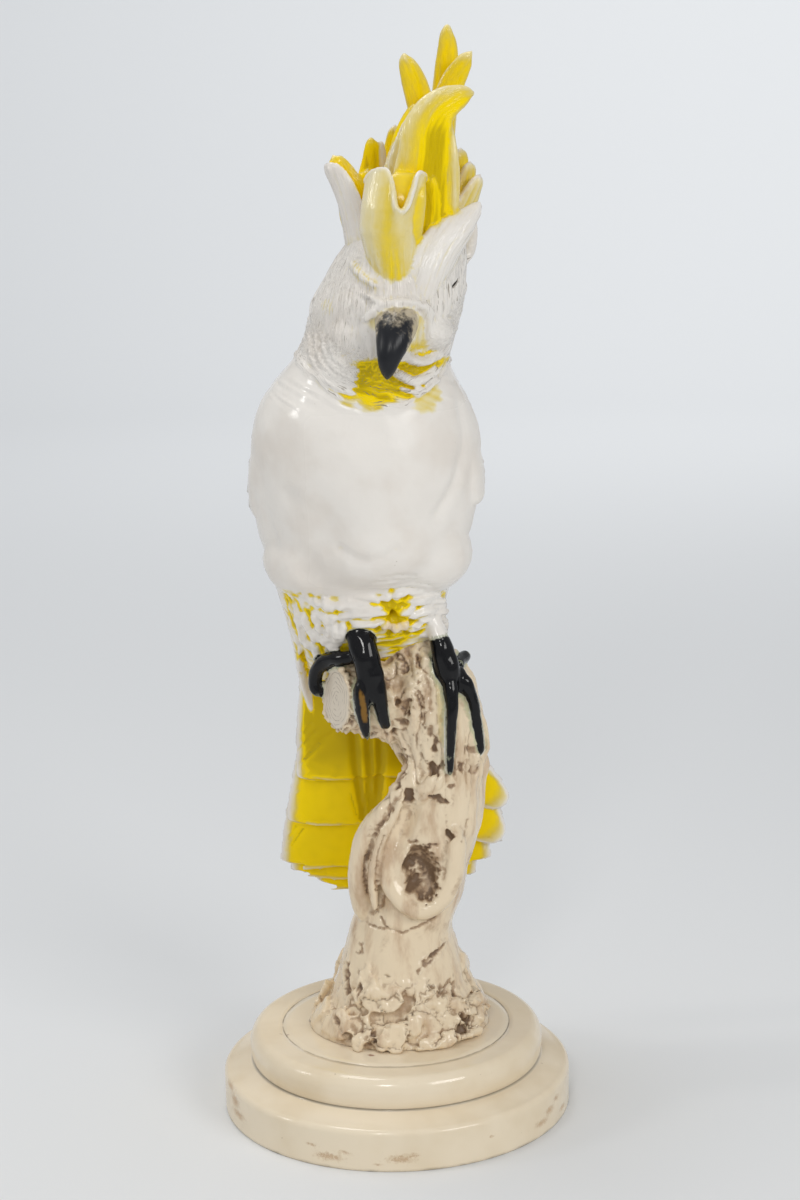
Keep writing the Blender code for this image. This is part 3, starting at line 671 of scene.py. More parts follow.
def body():
    draw_out(TORSO, ends=0.0, sides=72, rings=180, level=True)
    draw_out(BELLY, ends=0.0, sides=36, rings=24, level=True, yellow=under_breast)
    draw_out(RUMP, ends=0.05, sides=28, rings=30, cup=-0.1,
             yellow=lambda share, around: 0.9 * (sin(around) > 0))
    for centre, radii in BREAST_SWELLS:
        lump(centre, radii)
    for points, radius in BELLY_TUFTS:
        roll([(x, front_of(BELLY, x, z) - 0.6, z) for x, z in points], radius, yellow=WHITE_RIDGE)
    draw_out(FLANK, across=(0.9, -0.4, 0), rings=30, yellow=0.42)
    for points in FLANK_TUFTS:
        roll([(x, y - 4, z) for x, y, z in points], 2.4, yellow=WHITE_RIDGE)
    for x, z in ((-1, 243), (4, 240), (9, 241)):
        lump((x, front_of(BELLY, x, z) - 0.5, z), (3.2, 3.0, 3.4), yellow=0.45, cream=0.6)


body()


# The wings: two leaf-shaped slabs folded round the flanks, bent at the shoulder, which meet behind over
# the root of the tail. Their feathers are cut with a tool once all the clay is fused.
RIGHT_WING = ((38, -14, 354, 16, 6), (45, -4, 328, 28, 7), (42.5, 4, 300, 31, 7), (31, 19, 270, 28, 7),
              (21, 34, 238, 24, 6), (15, 50, 203, 21, 6), (9, 62, 165, 15, 5), (5, 68, 135, 8, 4))
LEFT_WING = ((-58, -14, 354, 16, 6), (-66, -4, 328, 28, 7), (-64.5, 5, 300, 31, 7), (-56, 17, 268, 28, 7),
             (-45, 30, 230, 25, 6), (-36, 47, 192, 22, 6), (-24, 61, 156, 15, 5), (-16, 67, 128, 8, 4))
WING_BENDS = (((42, -18, 352, 8, 5), (49, -12, 326, 12, 5), (50, -8, 304, 10, 5)),
              ((-62, -16, 350, 8, 5), (-69, -8, 324, 12, 5), (-69, -4, 298, 11, 5)))

def wings():
    for side, stations, way in ((1, RIGHT_WING, 0.1), (-1, LEFT_WING, -0.1)):
        draw_out(stations, across=(way, 1, 0), across_end=(-0.9 * side, 0.4, 0), cup=-0.3 * side, ends=0.08,
                 sides=30, rings=60)
    for bend in WING_BENDS:
        draw_out(bend, across=(0.2 if bend[0][0] > 0 else -0.2, 1, 0))


wings()


# The tail: overlapping tiers of broad feathers hang down behind the trunk, brushed yellow underneath
# with pale rims where the glaze thins, and long white feathers lie over them behind.
TAIL_TIERS = (
    ((-12, 24, 222, 36, 12), (-9, 34, 185, 44, 8), (-5, 43, 134, 51, 6)),
    ((-8, 40, 165, 46, 7), (-4, 47, 133, 55, 6), (-3, 53, 103, 60, 6)),
    ((-5, 47, 138, 50, 7), (-4, 56, 104, 60, 6), (-4, 62, 73, 64, 5)),
    ((-4, 58, 110, 50, 6), (-5, 64, 84, 56, 5), (-6, 68, 64, 56, 4)),
    ((-4, 64, 100, 44, 6), (-6, 68, 76, 44, 5), (-8, 72, 55, 38, 4)),
)
TAIL_SIDE_TIPS = (((36, 44, 140, 16, 5), (57, 49, 122, 11, 4), (68, 52, 113, 5, 3)),
                  ((36, 50, 118, 18, 5), (55, 55, 100, 13, 4), (65, 57, 89, 5, 3)))


def tail_yellow(share, around):
    """Yellow in front, paler on the rims and at the hem, white behind."""
    front = sin(around) > -0.25
    rim = min(1.0, (1 - share) / 0.03) * min(1.0, max(0.0, 0.955 - abs(cos(around))) / 0.06 + 0.05)
    return front * (0.20 + 0.80 * rim)


def side_tip_yellow(share, around):
    inner = min(1.0, max(0.0, 0.86 - abs(cos(around))) / 0.25) * min(1.0, (1 - share) / 0.35)
    return (sin(around) > -0.4) * (0.15 + 0.85 * inner)


def tail():
    for root, middle, hem in TAIL_TIERS:
        draw_out([root, middle, hem], ends=0.05, sides=60, rings=48, cup=-0.04, yellow=tail_yellow)
        x, y, z, half_width, half_thick = hem
        lip = [(x + half_width * across, y - 0.85 * half_thick * sqrt(1 - across ** 2),
                z + 1.2 + 0.8 * sin(7 * across + z))
               for across in (-0.82, -0.65, -0.45, -0.2, 0.05, 0.3, 0.5, 0.66, 0.82)]
        draw_out([(*place, 1.0, 1.0) for place in lip], across=(0, 0.3, 1), sides=10, rings=60, yellow=0.62)
    for tip in TAIL_SIDE_TIPS:
        draw_out(tip, across=(0.4, 0, 0.9), yellow=side_tip_yellow)
    for x in (-13, -5):
        draw_out([(x, 36, 178, 4, 5), (x + 1, 41, 150, 5, 5), (x + 3, 47, 120, 3, 4)], yellow=0.95)
    for feather in range(7):
        spread = feather - 3
        draw_out([(-8 + 4 * spread, 44, 200, 9, 5), (-5 + 12 * spread, 58, 130, 11, 4),
                  (-4 + 14 * spread, 70 - abs(spread), 78 + 3 * abs(spread), 9, 4)], rings=34,
                 yellow=lambda share, around: 0.95 * (sin(around) > 0.2))


tail()


# The legs and feet: rolls of clay pressed over the wood, two toes in front on each foot, knuckled and
# clawed, one of them hooked over the branch stub, all dipped in black glaze that thins on their edges.
SHANKS = (
    ((-17, -14, 246, 7, 7), (-15, -24, 236, 7.5, 7), (-12, -29, 224, 8, 7), (-9, -30, 208, 7, 6)),
    ((22, -9, 248, 5.5, 6), (27, -15, 235, 5, 6), (31, -19, 221, 6.5, 6), (33.5, -20, 206, 6.5, 5)),
)
FOOT_MASSES = (((-14, -27, 229), (7.5, 7, 7)), ((-9.5, -31, 213), (7.5, 6, 12)),
               ((33.5, -20, 213), (6.5, 6, 12)),
               ((39.5, -16, 206), (5, 5, 9)))
TOES = (
    ((-13, -31, 212, 5, 5), (-14.5, -33, 202, 4.5, 4.5), (-14, -31, 190, 4, 4), (-12, -27, 176, 1.8, 2)),
    ((-6, -31, 212, 5, 5), (-5, -32, 202, 4.2, 4.2), (-3.5, -30, 192, 4, 4), (-1.5, -27, 182, 3.2, 3)),
    ((-14, -24, 224, 4, 4), (-23, -22, 222, 4, 4), (-32, -14, 219, 4, 4), (-39, -7, 213, 4, 5),
     (-41, -5, 203, 4, 4), (-38, -8, 196, 3, 3)),
    ((34, -22, 210, 5, 4), (35, -26, 196, 3.6, 4), (34, -27, 178, 3.0, 3.5), (33, -26.5, 154, 2.2, 2.5)),
    ((40, -18, 210, 5, 4), (46, -17, 197, 3.4, 4), (49, -15.5, 180, 3.2, 3.5), (51, -12.5, 162, 2.6, 2.8)),
    ((38, -10, 213, 4, 4), (42, 0, 215, 3, 3), (43, 7, 215, 4, 4)),
)
AMBER_STREAK = ((-14.8, 205), (-12.8, 190))


def thinning_black(share, around):
    """Black on top of a toe, run off to green down its sides and towards the claw."""
    return 1.0 - 0.56 * min(1.0, 1.8 * share) * (sin(around) < 0.62)


def dipped(line):
    """White down at the top of a leg, black below a line, with a pale fringe between them."""
    return lambda share, around: 1.0 if share > line + 0.07 else 0.42 * (share > line)


def feet():
    for shank, line in zip(SHANKS, (0.22, 0.40)):
        draw_out(shank, rings=40, black=dipped(line))
    for centre, radii in FOOT_MASSES:
        lump(centre, radii, black=1.0)
    for place, toe in enumerate(TOES):
        draw_out(toe, sides=20, rings=30, black=thinning_black if place in (0, 1, 3, 4) else 0.95)


feet()


# The face: cheeks, brow and chin pressed on, crescent rolls beside and below a hooked beak, a slit eye
# cut with a wire on each side, and fine strokes combed down the neck.
THROAT_ROLLS = (
    (((11, 391), (20, 387), (33, 390)), 2.4), (((6, 383), (17, 377), (31, 382)), 2.4),
    (((9, 374), (20, 371), (31, 377)), 1.3),
)
BROW_HOOD = ((-9, 408), (-4, 415), (4, 418.5), (13, 419), (23, 416.5), (29, 410))
BROW_ROLLS = (
    (((-8, 424), (-2, 420.5), (5, 419), (12, 419), (20, 421)), 1.7),
    (((-6, 418), (2, 415), (9, 414), (17, 415), (25, 419)), 1.5),
    (((22, 416), (26, 409), (25, 401)), 2.0),
)
CHEEK = (-10, 400)
EYE_SLITS = (((38.6, -36.6, 424.7), (42.2, -33.0, 428.2)), ((-32.0, -22.0, 424.7), (-33.0, -16.0, 428.2)))


def face():
    lump((-12, -36, 400), (18, 16, 17))
    lump((27, -33, 402), (12, 15, 11))
    lump((10, -44, 411), (14, 11, 9), yellow=0.14)
    lump((8, -49, 394), (8, 8, 9))
    for rolls, sunk in ((THROAT_ROLLS, 2.4), (BROW_ROLLS, 1.8)):
        for points, radius in rolls:
            roll([(x, front_of(TORSO, x, z) - sunk, z) for x, z in points], radius, yellow=WHITE_RIDGE)
    roll([(x, front_of(TORSO, x, z) - 2.8, z) for x, z in BROW_HOOD], 2.4)
    for reach, radius in ((17, 1.6), (21, 1.5), (25, 1.4), (29, 1.2)):
        arc = [(CHEEK[0] + reach * cos(radians(angle)), CHEEK[1] + reach * sin(radians(angle)))
               for angle in (175, 205, 235, 265)]
        roll([(x, front_of(TORSO, x, z) - 1.0, z) for x, z in arc], radius, yellow=WHITE_RIDGE)
    lump((43, -15, 424), (4, 7, 5))


def beak_black(share, around):
    """Black from below the cream cere, mottled where it starts and thin along both sides."""
    side = 0.16 * max(0.0, abs(cos(around)) - 0.80) / 0.2 * (share < 0.8)
    return min(0.9, max(0.28, 0.37 + (share - 0.13) * 0.85)) - side


def beak():
    draw_out([(9, -44, 411, 11, 10), (8.8, -55, 409, 11.6, 9), (6.8, -64, 401, 9.4, 8),
              (4.2, -68.5, 391, 6.2, 6),
              (3, -67, 380, 2.6, 2.8)], ends=0.15, sides=28, rings=36, black=beak_black, yellow=0.17)


face()
beak()


# The crest: petals of clay rolled thin, cupped, and planted in the crown: a cup with a poured lip in
# front, a broad curled petal behind it, three tips at the back and a fan of petals on each side.
CUP_SECTIONS = (
    # x, y, z, half width, how far the wall bulges forward
    (10, -38, 415, 3, 8), (9.5, -42, 422, 6.5, 10), (8, -43, 434, 11, 11.5), (6, -44, 445, 13.5, 12.5),
    (5, -45, 456, 15, 13.5), (6.5, -45, 467, 15.5, 14), (9, -44, 478, 16, 13), (10.5, -43, 488, 15.5, 12),
)
CUP_FOOT = 415
CUP_LIP = 0.20  # where the lip is poured, from -1 at the cup's left edge to 1 at its right
CUP_FLARE = 5.0


def cup_rim(across):
    """Height of the cup's rim from its left edge, -1, to its right edge, 1: a lobe, a poured lip, a lobe."""
    off = abs(across - CUP_LIP)
    lip = exp(-(off / 0.25) ** 2.4) if across < CUP_LIP else exp(-(off / 0.22) ** 4)
    height = 486.5 - 21 * lip - 14 * max(0.0, -across - 0.5) - 9 * max(0.0, across - 0.42)
    return height + 1.5 * exp(-((across + 0.2) / 0.2) ** 2)


def cup_place(across, height, flare=0.0):
    middle_x, middle_y, half_width, bulge = at_height(CUP_SECTIONS, height)
    lip = exp(-((across - CUP_LIP) / 0.26) ** 2)
    swing = radians(100) * across
    forward = bulge * cos(swing) + flare * lip
    return Vector((middle_x + half_width * sin(swing), middle_y - forward, height))


def front_cup():
    """A wall bent round from a flat sheet, its rim rolled and poured open at the front."""
    form, notes = start_form()
    bmesh.ops.create_grid(form, x_segments=40, y_segments=36, size=1.0)
    outer = list(form.verts)
    for vert in outer:
        across, rise = vert.co.x, (vert.co.y + 1) / 2
        height = CUP_FOOT + (cup_rim(across) - CUP_FOOT) * rise
        vert.co = cup_place(across, height, CUP_FLARE * rise ** 6)
        stripe = exp(-((across - 0.02) / 0.36) ** 2) * (1 - 0.55 * rise)
        vert[notes["yellow"]] = 0.32 + 0.55 * stripe - 0.06 * max(0.0, rise - 0.8) / 0.2
        vert[notes["across"]], vert[notes["along"]], vert[notes["leaf"]] = 16 * across, height, 0.6
    form.normal_update()
    bmesh.ops.solidify(form, geom=form.faces, thickness=2.6)
    form.verts.ensure_lookup_table()
    for vert in form.verts[len(outer):]:
        vert[notes["yellow"]] = 0.70
    press_on(form)
    spots = [step / 10 for step in range(-10, 11)]
    rim = [(*(cup_place(spot, cup_rim(spot), CUP_FLARE) + Vector((0, 1.0, 0))), 1.2, 1.2) for spot in spots]
    draw_out(rim, across=(0.2, 0.3, 1), sides=10, rings=80, ends=0.03, yellow=0.36)
    draw_out([(13, -40, 445, 8, 5), (14, -48, 460, 10, 5), (15, -49, 472, 10.5, 4), (16, -44, 485, 9.5, 3)],
             cup=-0.15, ends=0.10, rings=40, yellow=0.72, leaf=0.4)


def petal(stations, across=(1, 0, 0), across_end=None, cup=0.0, inside=0.95, outside=0.12, rings=30,
          channel=False):
    """A thin leaf of clay, brushed yellow on its hollow side, with pale rims and a pale tip."""
    hollow_side = 1 if cup >= 0 else -1

    def brushed(share, around):
        facing = hollow_side * sin(around)
        blend = min(1.0, max(0.0, (facing + 0.05) / 0.35))
        rim = min(1.0, (1 - abs(cos(around))) / 0.06)
        tip = min(1.0, (1 - share) / 0.08)
        if channel:
            blend *= 0.14 + 0.86 * exp(-((cos(around) - 0.36) / 0.50) ** 2)
        return outside + (inside - outside) * blend * (0.35 + 0.65 * rim) * (0.4 + 0.6 * tip)

    draw_out(stations, across=across, across_end=across_end, cup=cup, ends=0.1, sides=26, rings=rings,
             yellow=brushed, leaf=1.0)


def crest():
    front_cup()
    # Broad curled petal, with the edges of two thin leaves on its left and a pale one on its right
    petal([(17, -22, 440, 15, 8), (20, -31, 460, 17, 6), (22, -35, 478, 16.5, 5), (24, -36, 493, 15, 5),
           (26, -36, 507, 13.5, 5), (32, -35, 516.5, 10.5, 4.8), (41, -32, 522, 7.2, 4.8),
           (51.5, -29, 525, 4.4, 4)],
          across=(1, 0.25, 0), across_end=(0.3, 0.1, -1), cup=-0.28, inside=1.02, outside=0.50, rings=60,
          channel=True)
    petal([(13, -26, 455, 10, 3), (15, -32, 478, 11, 2.5), (17, -34, 497, 9, 2.2), (21, -34, 510, 6, 2),
           (27, -33, 517, 3, 1.5)], cup=-0.1, inside=0.45, outside=0.25)
    petal([(9, -24, 452, 10, 3), (10, -29, 474, 10, 2.5), (12, -31, 492, 7, 2.2), (16, -31, 505, 4, 2)],
          cup=-0.1, inside=0.50, outside=0.28)
    petal([(37, -26, 450, 4, 3), (39, -35, 470, 4, 2.5), (39, -37, 488, 4, 2.5), (38, -36, 503, 3, 2),
           (37, -34, 513, 2, 1.5)], inside=0.70, outside=0.55)
    # Small leaves that fill the cup behind its lip
    petal([(14, -24, 450, 8, 5), (12, -30, 476, 8, 4), (15, -30, 501, 7, 3), (22, -29, 520, 4, 2.5)],
          inside=0.9, outside=0.8)
    petal([(33, -20, 440, 7, 5), (35, -29, 462, 6, 4), (37, -28, 482, 5, 3.5), (38, -25, 502, 3, 3)],
          inside=0.9, outside=0.7)
    petal([(20, -36, 432, 6, 5), (25, -38, 450, 6, 3.5), (28, -38, 467, 5, 2.5), (27, -39, 483, 3, 2)],
          cup=-0.2,
          inside=0.9, outside=0.8)
    petal([(30, -28, 436, 8, 5), (34, -32, 455, 7, 4), (37, -33, 472, 5, 3), (38, -33, 484, 3, 2)],
          inside=0.9,
          outside=0.85)
    # Three tips at the back
    petal([(22, 0, 462, 10, 8), (26, -4, 490, 8, 7), (23.5, -12, 518, 7.2, 5), (19.5, -17, 534, 6.2, 4.5),
           (14.5, -22, 545.5, 3.8, 3.4)], cup=-0.3, inside=0.85, outside=0.6, rings=44)
    petal([(28, 10, 462, 10, 8), (34, 11, 500, 8, 6), (37.5, 8, 528, 7, 5), (38.5, 3, 547, 5.8, 4.4),
           (38.5, -2, 560.8, 3.0, 3.0)], cup=-0.3, inside=0.85, outside=0.6, rings=44)
    petal([(28, 2, 462, 10, 8), (33, 0, 498, 8, 6), (38, -4, 524, 6.8, 5), (45, -9, 538, 5.6, 4),
           (51, -14, 546, 3.2, 3.0)], cup=-0.3, inside=0.85, outside=0.6, rings=44)
    # Left side, from the outer petal in
    petal([(-4, -14, 428, 11, 6), (-12, -20, 446, 13, 5), (-15.5, -23, 462, 13, 4), (-19, -24, 474, 12, 3.5),
           (-23.5, -24, 484, 9, 3.0), (-27.5, -23, 490, 5, 2.4)], across=(0.25, -1, 0.15), cup=0.5, rings=44)
    petal([(-4, -10, 440, 9, 6), (-11, -15, 460, 9, 4.5), (-15, -18, 478, 7.5, 3.5), (-20, -19, 488, 6, 2.6),
           (-23, -19, 494, 4.5, 2.2)], cup=-0.2, inside=0.72, outside=0.6)
    petal([(0, -14, 440, 9, 6), (-5, -17, 458, 9, 4.5), (-6, -17, 474, 7.5, 3.5), (-5, -16, 486, 4, 2.5)],
          cup=-0.2,
          inside=0.72, outside=0.6)
    petal([(2, -4, 445, 10, 7), (-3, -8, 464, 10, 5), (-3.5, -10, 480, 8, 4), (-3, -12, 492, 5, 2.8),
           (-2.5, -14, 503, 3, 2.4)], cup=-0.2, inside=0.85, outside=0.6)
    petal([(6, -6, 450, 8, 5), (3, -10, 478, 5, 3), (2, -12, 492, 3.5, 2.4), (2.5, -13, 501, 2, 2)],
          inside=0.4, outside=0.3)
    petal([(10, 8, 450, 10, 7), (9, 10, 478, 8, 5), (9, 9, 495, 6, 3.5), (10, 6, 509, 3, 2.5)], cup=-0.1)
    # Right side, from the outer petal in
    petal([(21, -44, 416, 9, 6), (28, -45, 433, 14, 5), (36, -40, 446, 13, 4), (46, -33, 457.5, 8, 3.5),
           (54.5, -26, 468, 3, 2.6)], across=(0.8, 0.6, 0.1), cup=0.35, rings=44)
    for lift, turn in ((0, 0.0), (7, 0.5), (14, 1.0)):
        petal([(26, -12 + lift, 435, 12, 6), (38, -8 + lift, 454 + lift / 3, 11, 5),
               (47 - 4 * turn, -5 + lift, 468 + lift / 2, 8, 3.5),
               (55 - 10 * turn, -6 + lift, 482 + lift, 4, 2.5)],
              across=(0.7, 0.7, 0), cup=-0.2, inside=0.50 + 0.02 * lift, outside=0.2)
    roll([(40, 8, 430), (48, 10, 440), (50, 11, 452), (46, 9, 466)], 4)
    roll([(x, front_of(TORSO, x, z) - 2, z) for x, z in ((-15, 440), (-11, 434), (-6, 430), (0, 427))], 1.8,
         yellow=0.26)
    lump((19, -8, 456), (26, 26, 18), yellow=0.75)


crest()


# Fusing: every form is pressed into one body of clay and wiped, then tooled: bark is combed and torn,
# rings are cut in the branch's end, strokes and barbs are drawn with a point.
GRAIN = 1.0
MOST_TRIANGLES = 192000


def fuse(forms):
    """One closed skin round all the forms, in millimetres."""
    bmesh.ops.triangulate(forms, faces=forms.faces)
    mesh = bpy.data.meshes.new("clay_forms")
    forms.to_mesh(mesh)
    lumps = bpy.data.objects.new("clay_forms", mesh)
    bpy.context.scene.collection.objects.link(lumps)
    pressed = lumps.modifiers.new("pressed together", 'REMESH')
    pressed.mode = 'VOXEL'
    pressed.voxel_size = GRAIN
    skin = bpy.data.meshes.new_from_object(lumps.evaluated_get(bpy.context.evaluated_depsgraph_get()))
    bpy.data.objects.remove(lumps)
    return skin, mesh


def points_of(mesh):
    flat = np.empty(len(mesh.vertices) * 3, np.float32)
    mesh.vertices.foreach_get("co", flat)
    return flat.reshape(-1, 3).astype(float)


def edges_of(mesh):
    flat = np.empty(len(mesh.edges) * 2, np.int32)
    mesh.edges.foreach_get("vertices", flat)
    return flat.reshape(-1, 2)


def normals_of(mesh, points):
    mesh.vertices.foreach_set("co", points.astype(np.float32).ravel())
    mesh.update()
    flat = np.empty(len(mesh.vertices) * 3, np.float32)
    mesh.vertex_normals.foreach_get("vector", flat)
    return flat.reshape(-1, 3).astype(float)


def wiped(values, edges, passes, share=0.5):
    """Values evened out between neighbouring points, as a wet sponge evens clay."""
    values = values.reshape(len(values), -1).astype(float)
    count = len(values)
    first, second = edges[:, 0], edges[:, 1]
    neighbours = np.maximum(1, np.bincount(edges.ravel(), minlength=count))[:, None]
    for _ in range(passes):
        total = np.stack([np.bincount(first, column[second], count)
                          + np.bincount(second, column[first], count)
                          for column in values.T], axis=1)
        values = values * (1 - share) + total / neighbours * share
    return values


def read_notes(forms_mesh, points):
    """For each point, what the clay form whose skin is nearest says of itself."""
    corners = np.empty(len(forms_mesh.polygons) * 3, np.int32)
    forms_mesh.polygons.foreach_get("vertices", corners)
    corners = corners.reshape(-1, 3)
    places = points_of(forms_mesh)
    tree = BVHTree.FromPolygons(places.tolist(), corners.tolist(), all_triangles=True)
    hits = [tree.find_nearest(point)[:3:2] for point in map(Vector, points)]
    on_skin = np.array([hit[0] for hit in hits])
    triangle = corners[np.array([hit[1] for hit in hits])]
    a, b, c = (places[triangle[:, corner]] for corner in range(3))
    side, other, inward = b - a, c - a, on_skin - a
    d00, d01, d11 = (side * side).sum(1), (side * other).sum(1), (other * other).sum(1)
    d20, d21 = (inward * side).sum(1), (inward * other).sum(1)
    below = np.maximum(d00 * d11 - d01 * d01, 1e-12)
    to_b = np.clip((d11 * d20 - d01 * d21) / below, 0, 1)
    to_c = np.clip((d00 * d21 - d01 * d20) / below, 0, 1)
    read = {}
    for name in NOTES:
        kept = np.empty(len(places), np.float32)
        forms_mesh.attributes[name].data.foreach_get("value", kept)
        at_a, at_b, at_c = (kept[triangle[:, corner]] for corner in range(3))
        read[name] = at_a * (1 - to_b - to_c) + at_b * to_b + at_c * to_c
    return read


def from_line(points, line):
    """How far each point is from a line through the given places, in millimetres."""
    nearest = np.full(len(points), 1e9)
    for start, end in zip(line, line[1:]):
        start, way = np.array(start, float), np.array(end, float) - np.array(start, float)
        share = np.clip(((points - start) @ way) / max(1e-9, way @ way), 0, 1)
        nearest = np.minimum(nearest, np.linalg.norm(points - start - share[:, None] * way, axis=1))
    return nearest


def seen_from_line(points, line):
    """How far each point is from a line of (x, z) points, seen from the front."""
    return from_line(points[:, (0, 2)], line)


def rising(values, low, high):
    share = np.clip((values - low) / (high - low), 0, 1)
    return share * share * (3 - 2 * share)


def clay_noise(points, scale, offset=0.0):
    """Smooth noise at each point; `scale` is one number or one for each axis."""
    scaled = points * np.array(scale) + offset
    return np.array([noise.noise(place) for place in map(Vector, scaled)])


# Pits torn in the bark, seen from the front: x, z, half width, half height, lean, depth, how dark
BARK_PITS = (
    (8, 216, 2.5, 5, 12, 2.2, 0.9), (17, 217.5, 2.2, 4.5, -8, 2.0, 0.9), (3.6, 224, 3, 4, 0, 1.0, 0.6),
    (13, 221, 4, 2, 0, 0.8, 0.5), (10, 194, 4, 6, 0, 2.6, 0.85), (12, 190.5, 1.6, 1.6, 0, 2.0, 1.4),
    (5, 197, 1.5, 3, 0, 1.4, 0.8), (17.3, 199.5, 2, 6, 8, 1.8, 0.8), (8, 186, 4, 3, 0, 1.6, 0.7),
    (19, 188, 2, 5, 0, 1.6, 0.7), (2, 178, 6, 2, 20, 1.4, 0.7), (25, 172, 1.6, 6, -12, 1.6, 0.8),
    (23.6, 158.5, 3.5, 3.5, 0, 1.8, 1.0), (29, 160, 1.2, 2.5, 0, 1.2, 0.9), (40, 157.5, 2, 3.5, 0, 1.6, 0.9),
    (46.5, 156, 2, 3.5, 0, 1.6, 0.9), (46, 167, 3.5, 2.5, 0, 1.6, 0.8), (25.7, 141.5, 6.5, 2, -20, 1.8, 0.9),
    (34, 147.5, 2, 1.5, 0, 1.2, 0.8), (33, 120.5, 2.5, 2.5, 0, 2.0, 1.3), (5, 156, 3, 10, -15, 2.0, 1.0),
    (10, 142, 3, 5, -15, 2.0, 1.0), (-10, 176, 5, 2, 20, 1.2, 0.7), (19, 45.5, 7, 2.2, 35, 1.0, 0.8),
    (25, 50, 4.5, 1.2, 30, 0.8, 0.8), (-27, 32, 1.8, 8, 0, 2.2, 0.9), (-20, 30, 1.4, 6, 0, 1.8, 0.8),
    (38, 7, 4, 4, 0, 3.0, 1.4), (33.5, 27, 1.2, 6, 0, 1.4, 0.7), (-33, 12, 2.2, 2, 0, 1.2, 0.7),
    (-15, 7, 5, 3, 60, 0.3, 0.5), (-21, 11, 4, 5, 20, 0.2, 0.45),
    (34, 180, 1.8, 5, 10, 1.2, 0.8), (22, 180, 2.5, 4, -10, 1.2, 0.6), (0, 208, 2, 5, 0, 1.4, 0.7),
)
# Cracks drawn in it, as (x, z) points: how wide, how deep, how dark
BARK_CRACKS = (
    (((10, 116.5), (13.5, 117), (17, 113.5), (21, 115.5), (25, 115)), 1.0, 1.6, 1.3),
    (((30.5, 132), (31, 122)), 0.8, 0.9, 0.9), (((43, 127), (41, 121), (40, 117)), 1.0, 0.7, 0.55),
    (((31.5, 120), (30.5, 106), (28, 95)), 1.0, 0.6, 0.5),
    (((-14, 66), (-8, 65), (-3, 66), (5, 63.5), (12, 66), (24, 71)), 0.9, 1.1, 0.7),
    (((-19, 54), (-18.5, 50), (-20.5, 48)), 0.9, 0.9, 1.0), (((-7, 71), (-5, 67)), 1.1, 1.1, 1.0),
    (((-4, 121), (-7.5, 112), (-9, 101), (-9, 89)), 0.8, 1.3, 0.9),
    (((-15, 107), (-16, 96), (-14, 85)), 1.1, 1.6, 0.8),
    (((0, 136), (-6, 127), (-11, 117), (-14, 107)), 1.2, 1.3, 0.8),
    (((7, 146), (-1, 138), (-7, 130), (-12, 121)), 2.4, 0.9, 0.7),
    (((-12, 72), (-6, 78), (-5, 84)), 1.0, 1.0, 0.6),
    (((29, 207), (30, 196), (28.5, 186)), 1.0, 1.3, 0.9),
    (((20, 214), (23, 204), (23, 192)), 1.1, 0.9, 0.6), (((14, 178), (17, 168), (16, 158)), 1.3, 1.0, 0.6),
    (((36, 172), (37, 163), (36, 154)), 1.0, 0.9, 0.7),
)
GLAZE_RUN = ((27, 232), (30, 206), (31, 176))  # where yellow glaze ran down the wood
KNOT_HOLLOW = ((16, -34, 100), (12, 15, 18))
# Dents, above 0, and swellings, below 0, on the breast: place, reach and how deep
BREAST_DENTS = (((-50, -43, 316), 6, 1.2), ((-43, -38, 274), 6, 1.3), ((47.5, -14, 308), 2.5, 1.4),
                ((-34, -52, 306), 13, 1.0), ((26, -48, 307), 11, 1.0), ((5, -58, 322), 22, -0.9),
                ((-9, -58, 297), 15, -1.8), ((-30, -50, 290), 12, 0.6), ((-36, -42, 352), 14, -0.8))
SWELL_EDGE = ((-24, 289), (-16, 284), (-8, 282), (0, 284), (5, 288))
WING_LINES = (((39, -24, 358), (41, -30, 340), (39, -35, 322), (30, -40, 304)),
              ((-54, -25, 350), (-60, -22, 330), (-60, -22, 300), (-52, -26, 270)))
BELLY_SCRATCHES = (((-3, 272), (8, 273), (16, 271)), ((-6, 269), (4, 270), (18, 268)),
                   ((2, 266), (13, 267), (24, 264)),
                   ((-1, 263), (9, 264), (20, 262)), ((-9, 422), (-1, 417), (9, 415.5), (19, 417), (26, 421)),
                   ((-7, 418), (1, 413.5), (11, 412.5), (21, 414)), ((-10, 426), (-4, 423)),
                   ((2, 431), (2, 424)),
                   ((8, 430), (8, 425)), ((-14, 414), (-9, 408)))
TAIL_CREASES = (((-21, 178), (-20, 142), (-17, 108)), ((-13, 180), (-12, 140), (-13, 112)),
                ((-6, 176), (-6, 142), (-9, 114)))
TAIL_STROKES = (((-41, 167), (-55, 151)), ((-38, 162), (-53, 144)), ((-45, 170), (-52, 161)),
                ((-33, 165), (-50, 146)),
                ((-24, 124), (-21, 110)), ((-14, 130), (-17, 106)), ((-62, 92), (-57, 101)),
                ((-60, 88), (-53, 99)))
# Brushed yellow on the throat and neck: x, z, half width, half height, strength; above 1 it runs to amber,
# and the band at (17, 383) between the crescent rolls is amber painted shade
THROAT_YELLOW_AND_SHADE = ((-8, 381, 17, 7, 1.15), (0, 379, 19, 9, 1.2), (10, 376, 15, 8, 1.15),
                  (17, 383, 16, 3.5, 1.2),
                  (22, 389, 9, 2.4, 0.9), (-4, 367, 7, 4, 0.8), (-17, 368, 4, 3, 0.5), (24, 367, 7, 6, 0.45),
                  (19, 395, 6, 2, 0.55), (-28, 416, 3, 4, 0.20), (-5, 407, 2, 2.5, 0.26),
                  (20, 403, 3.5, 8, 0.26))


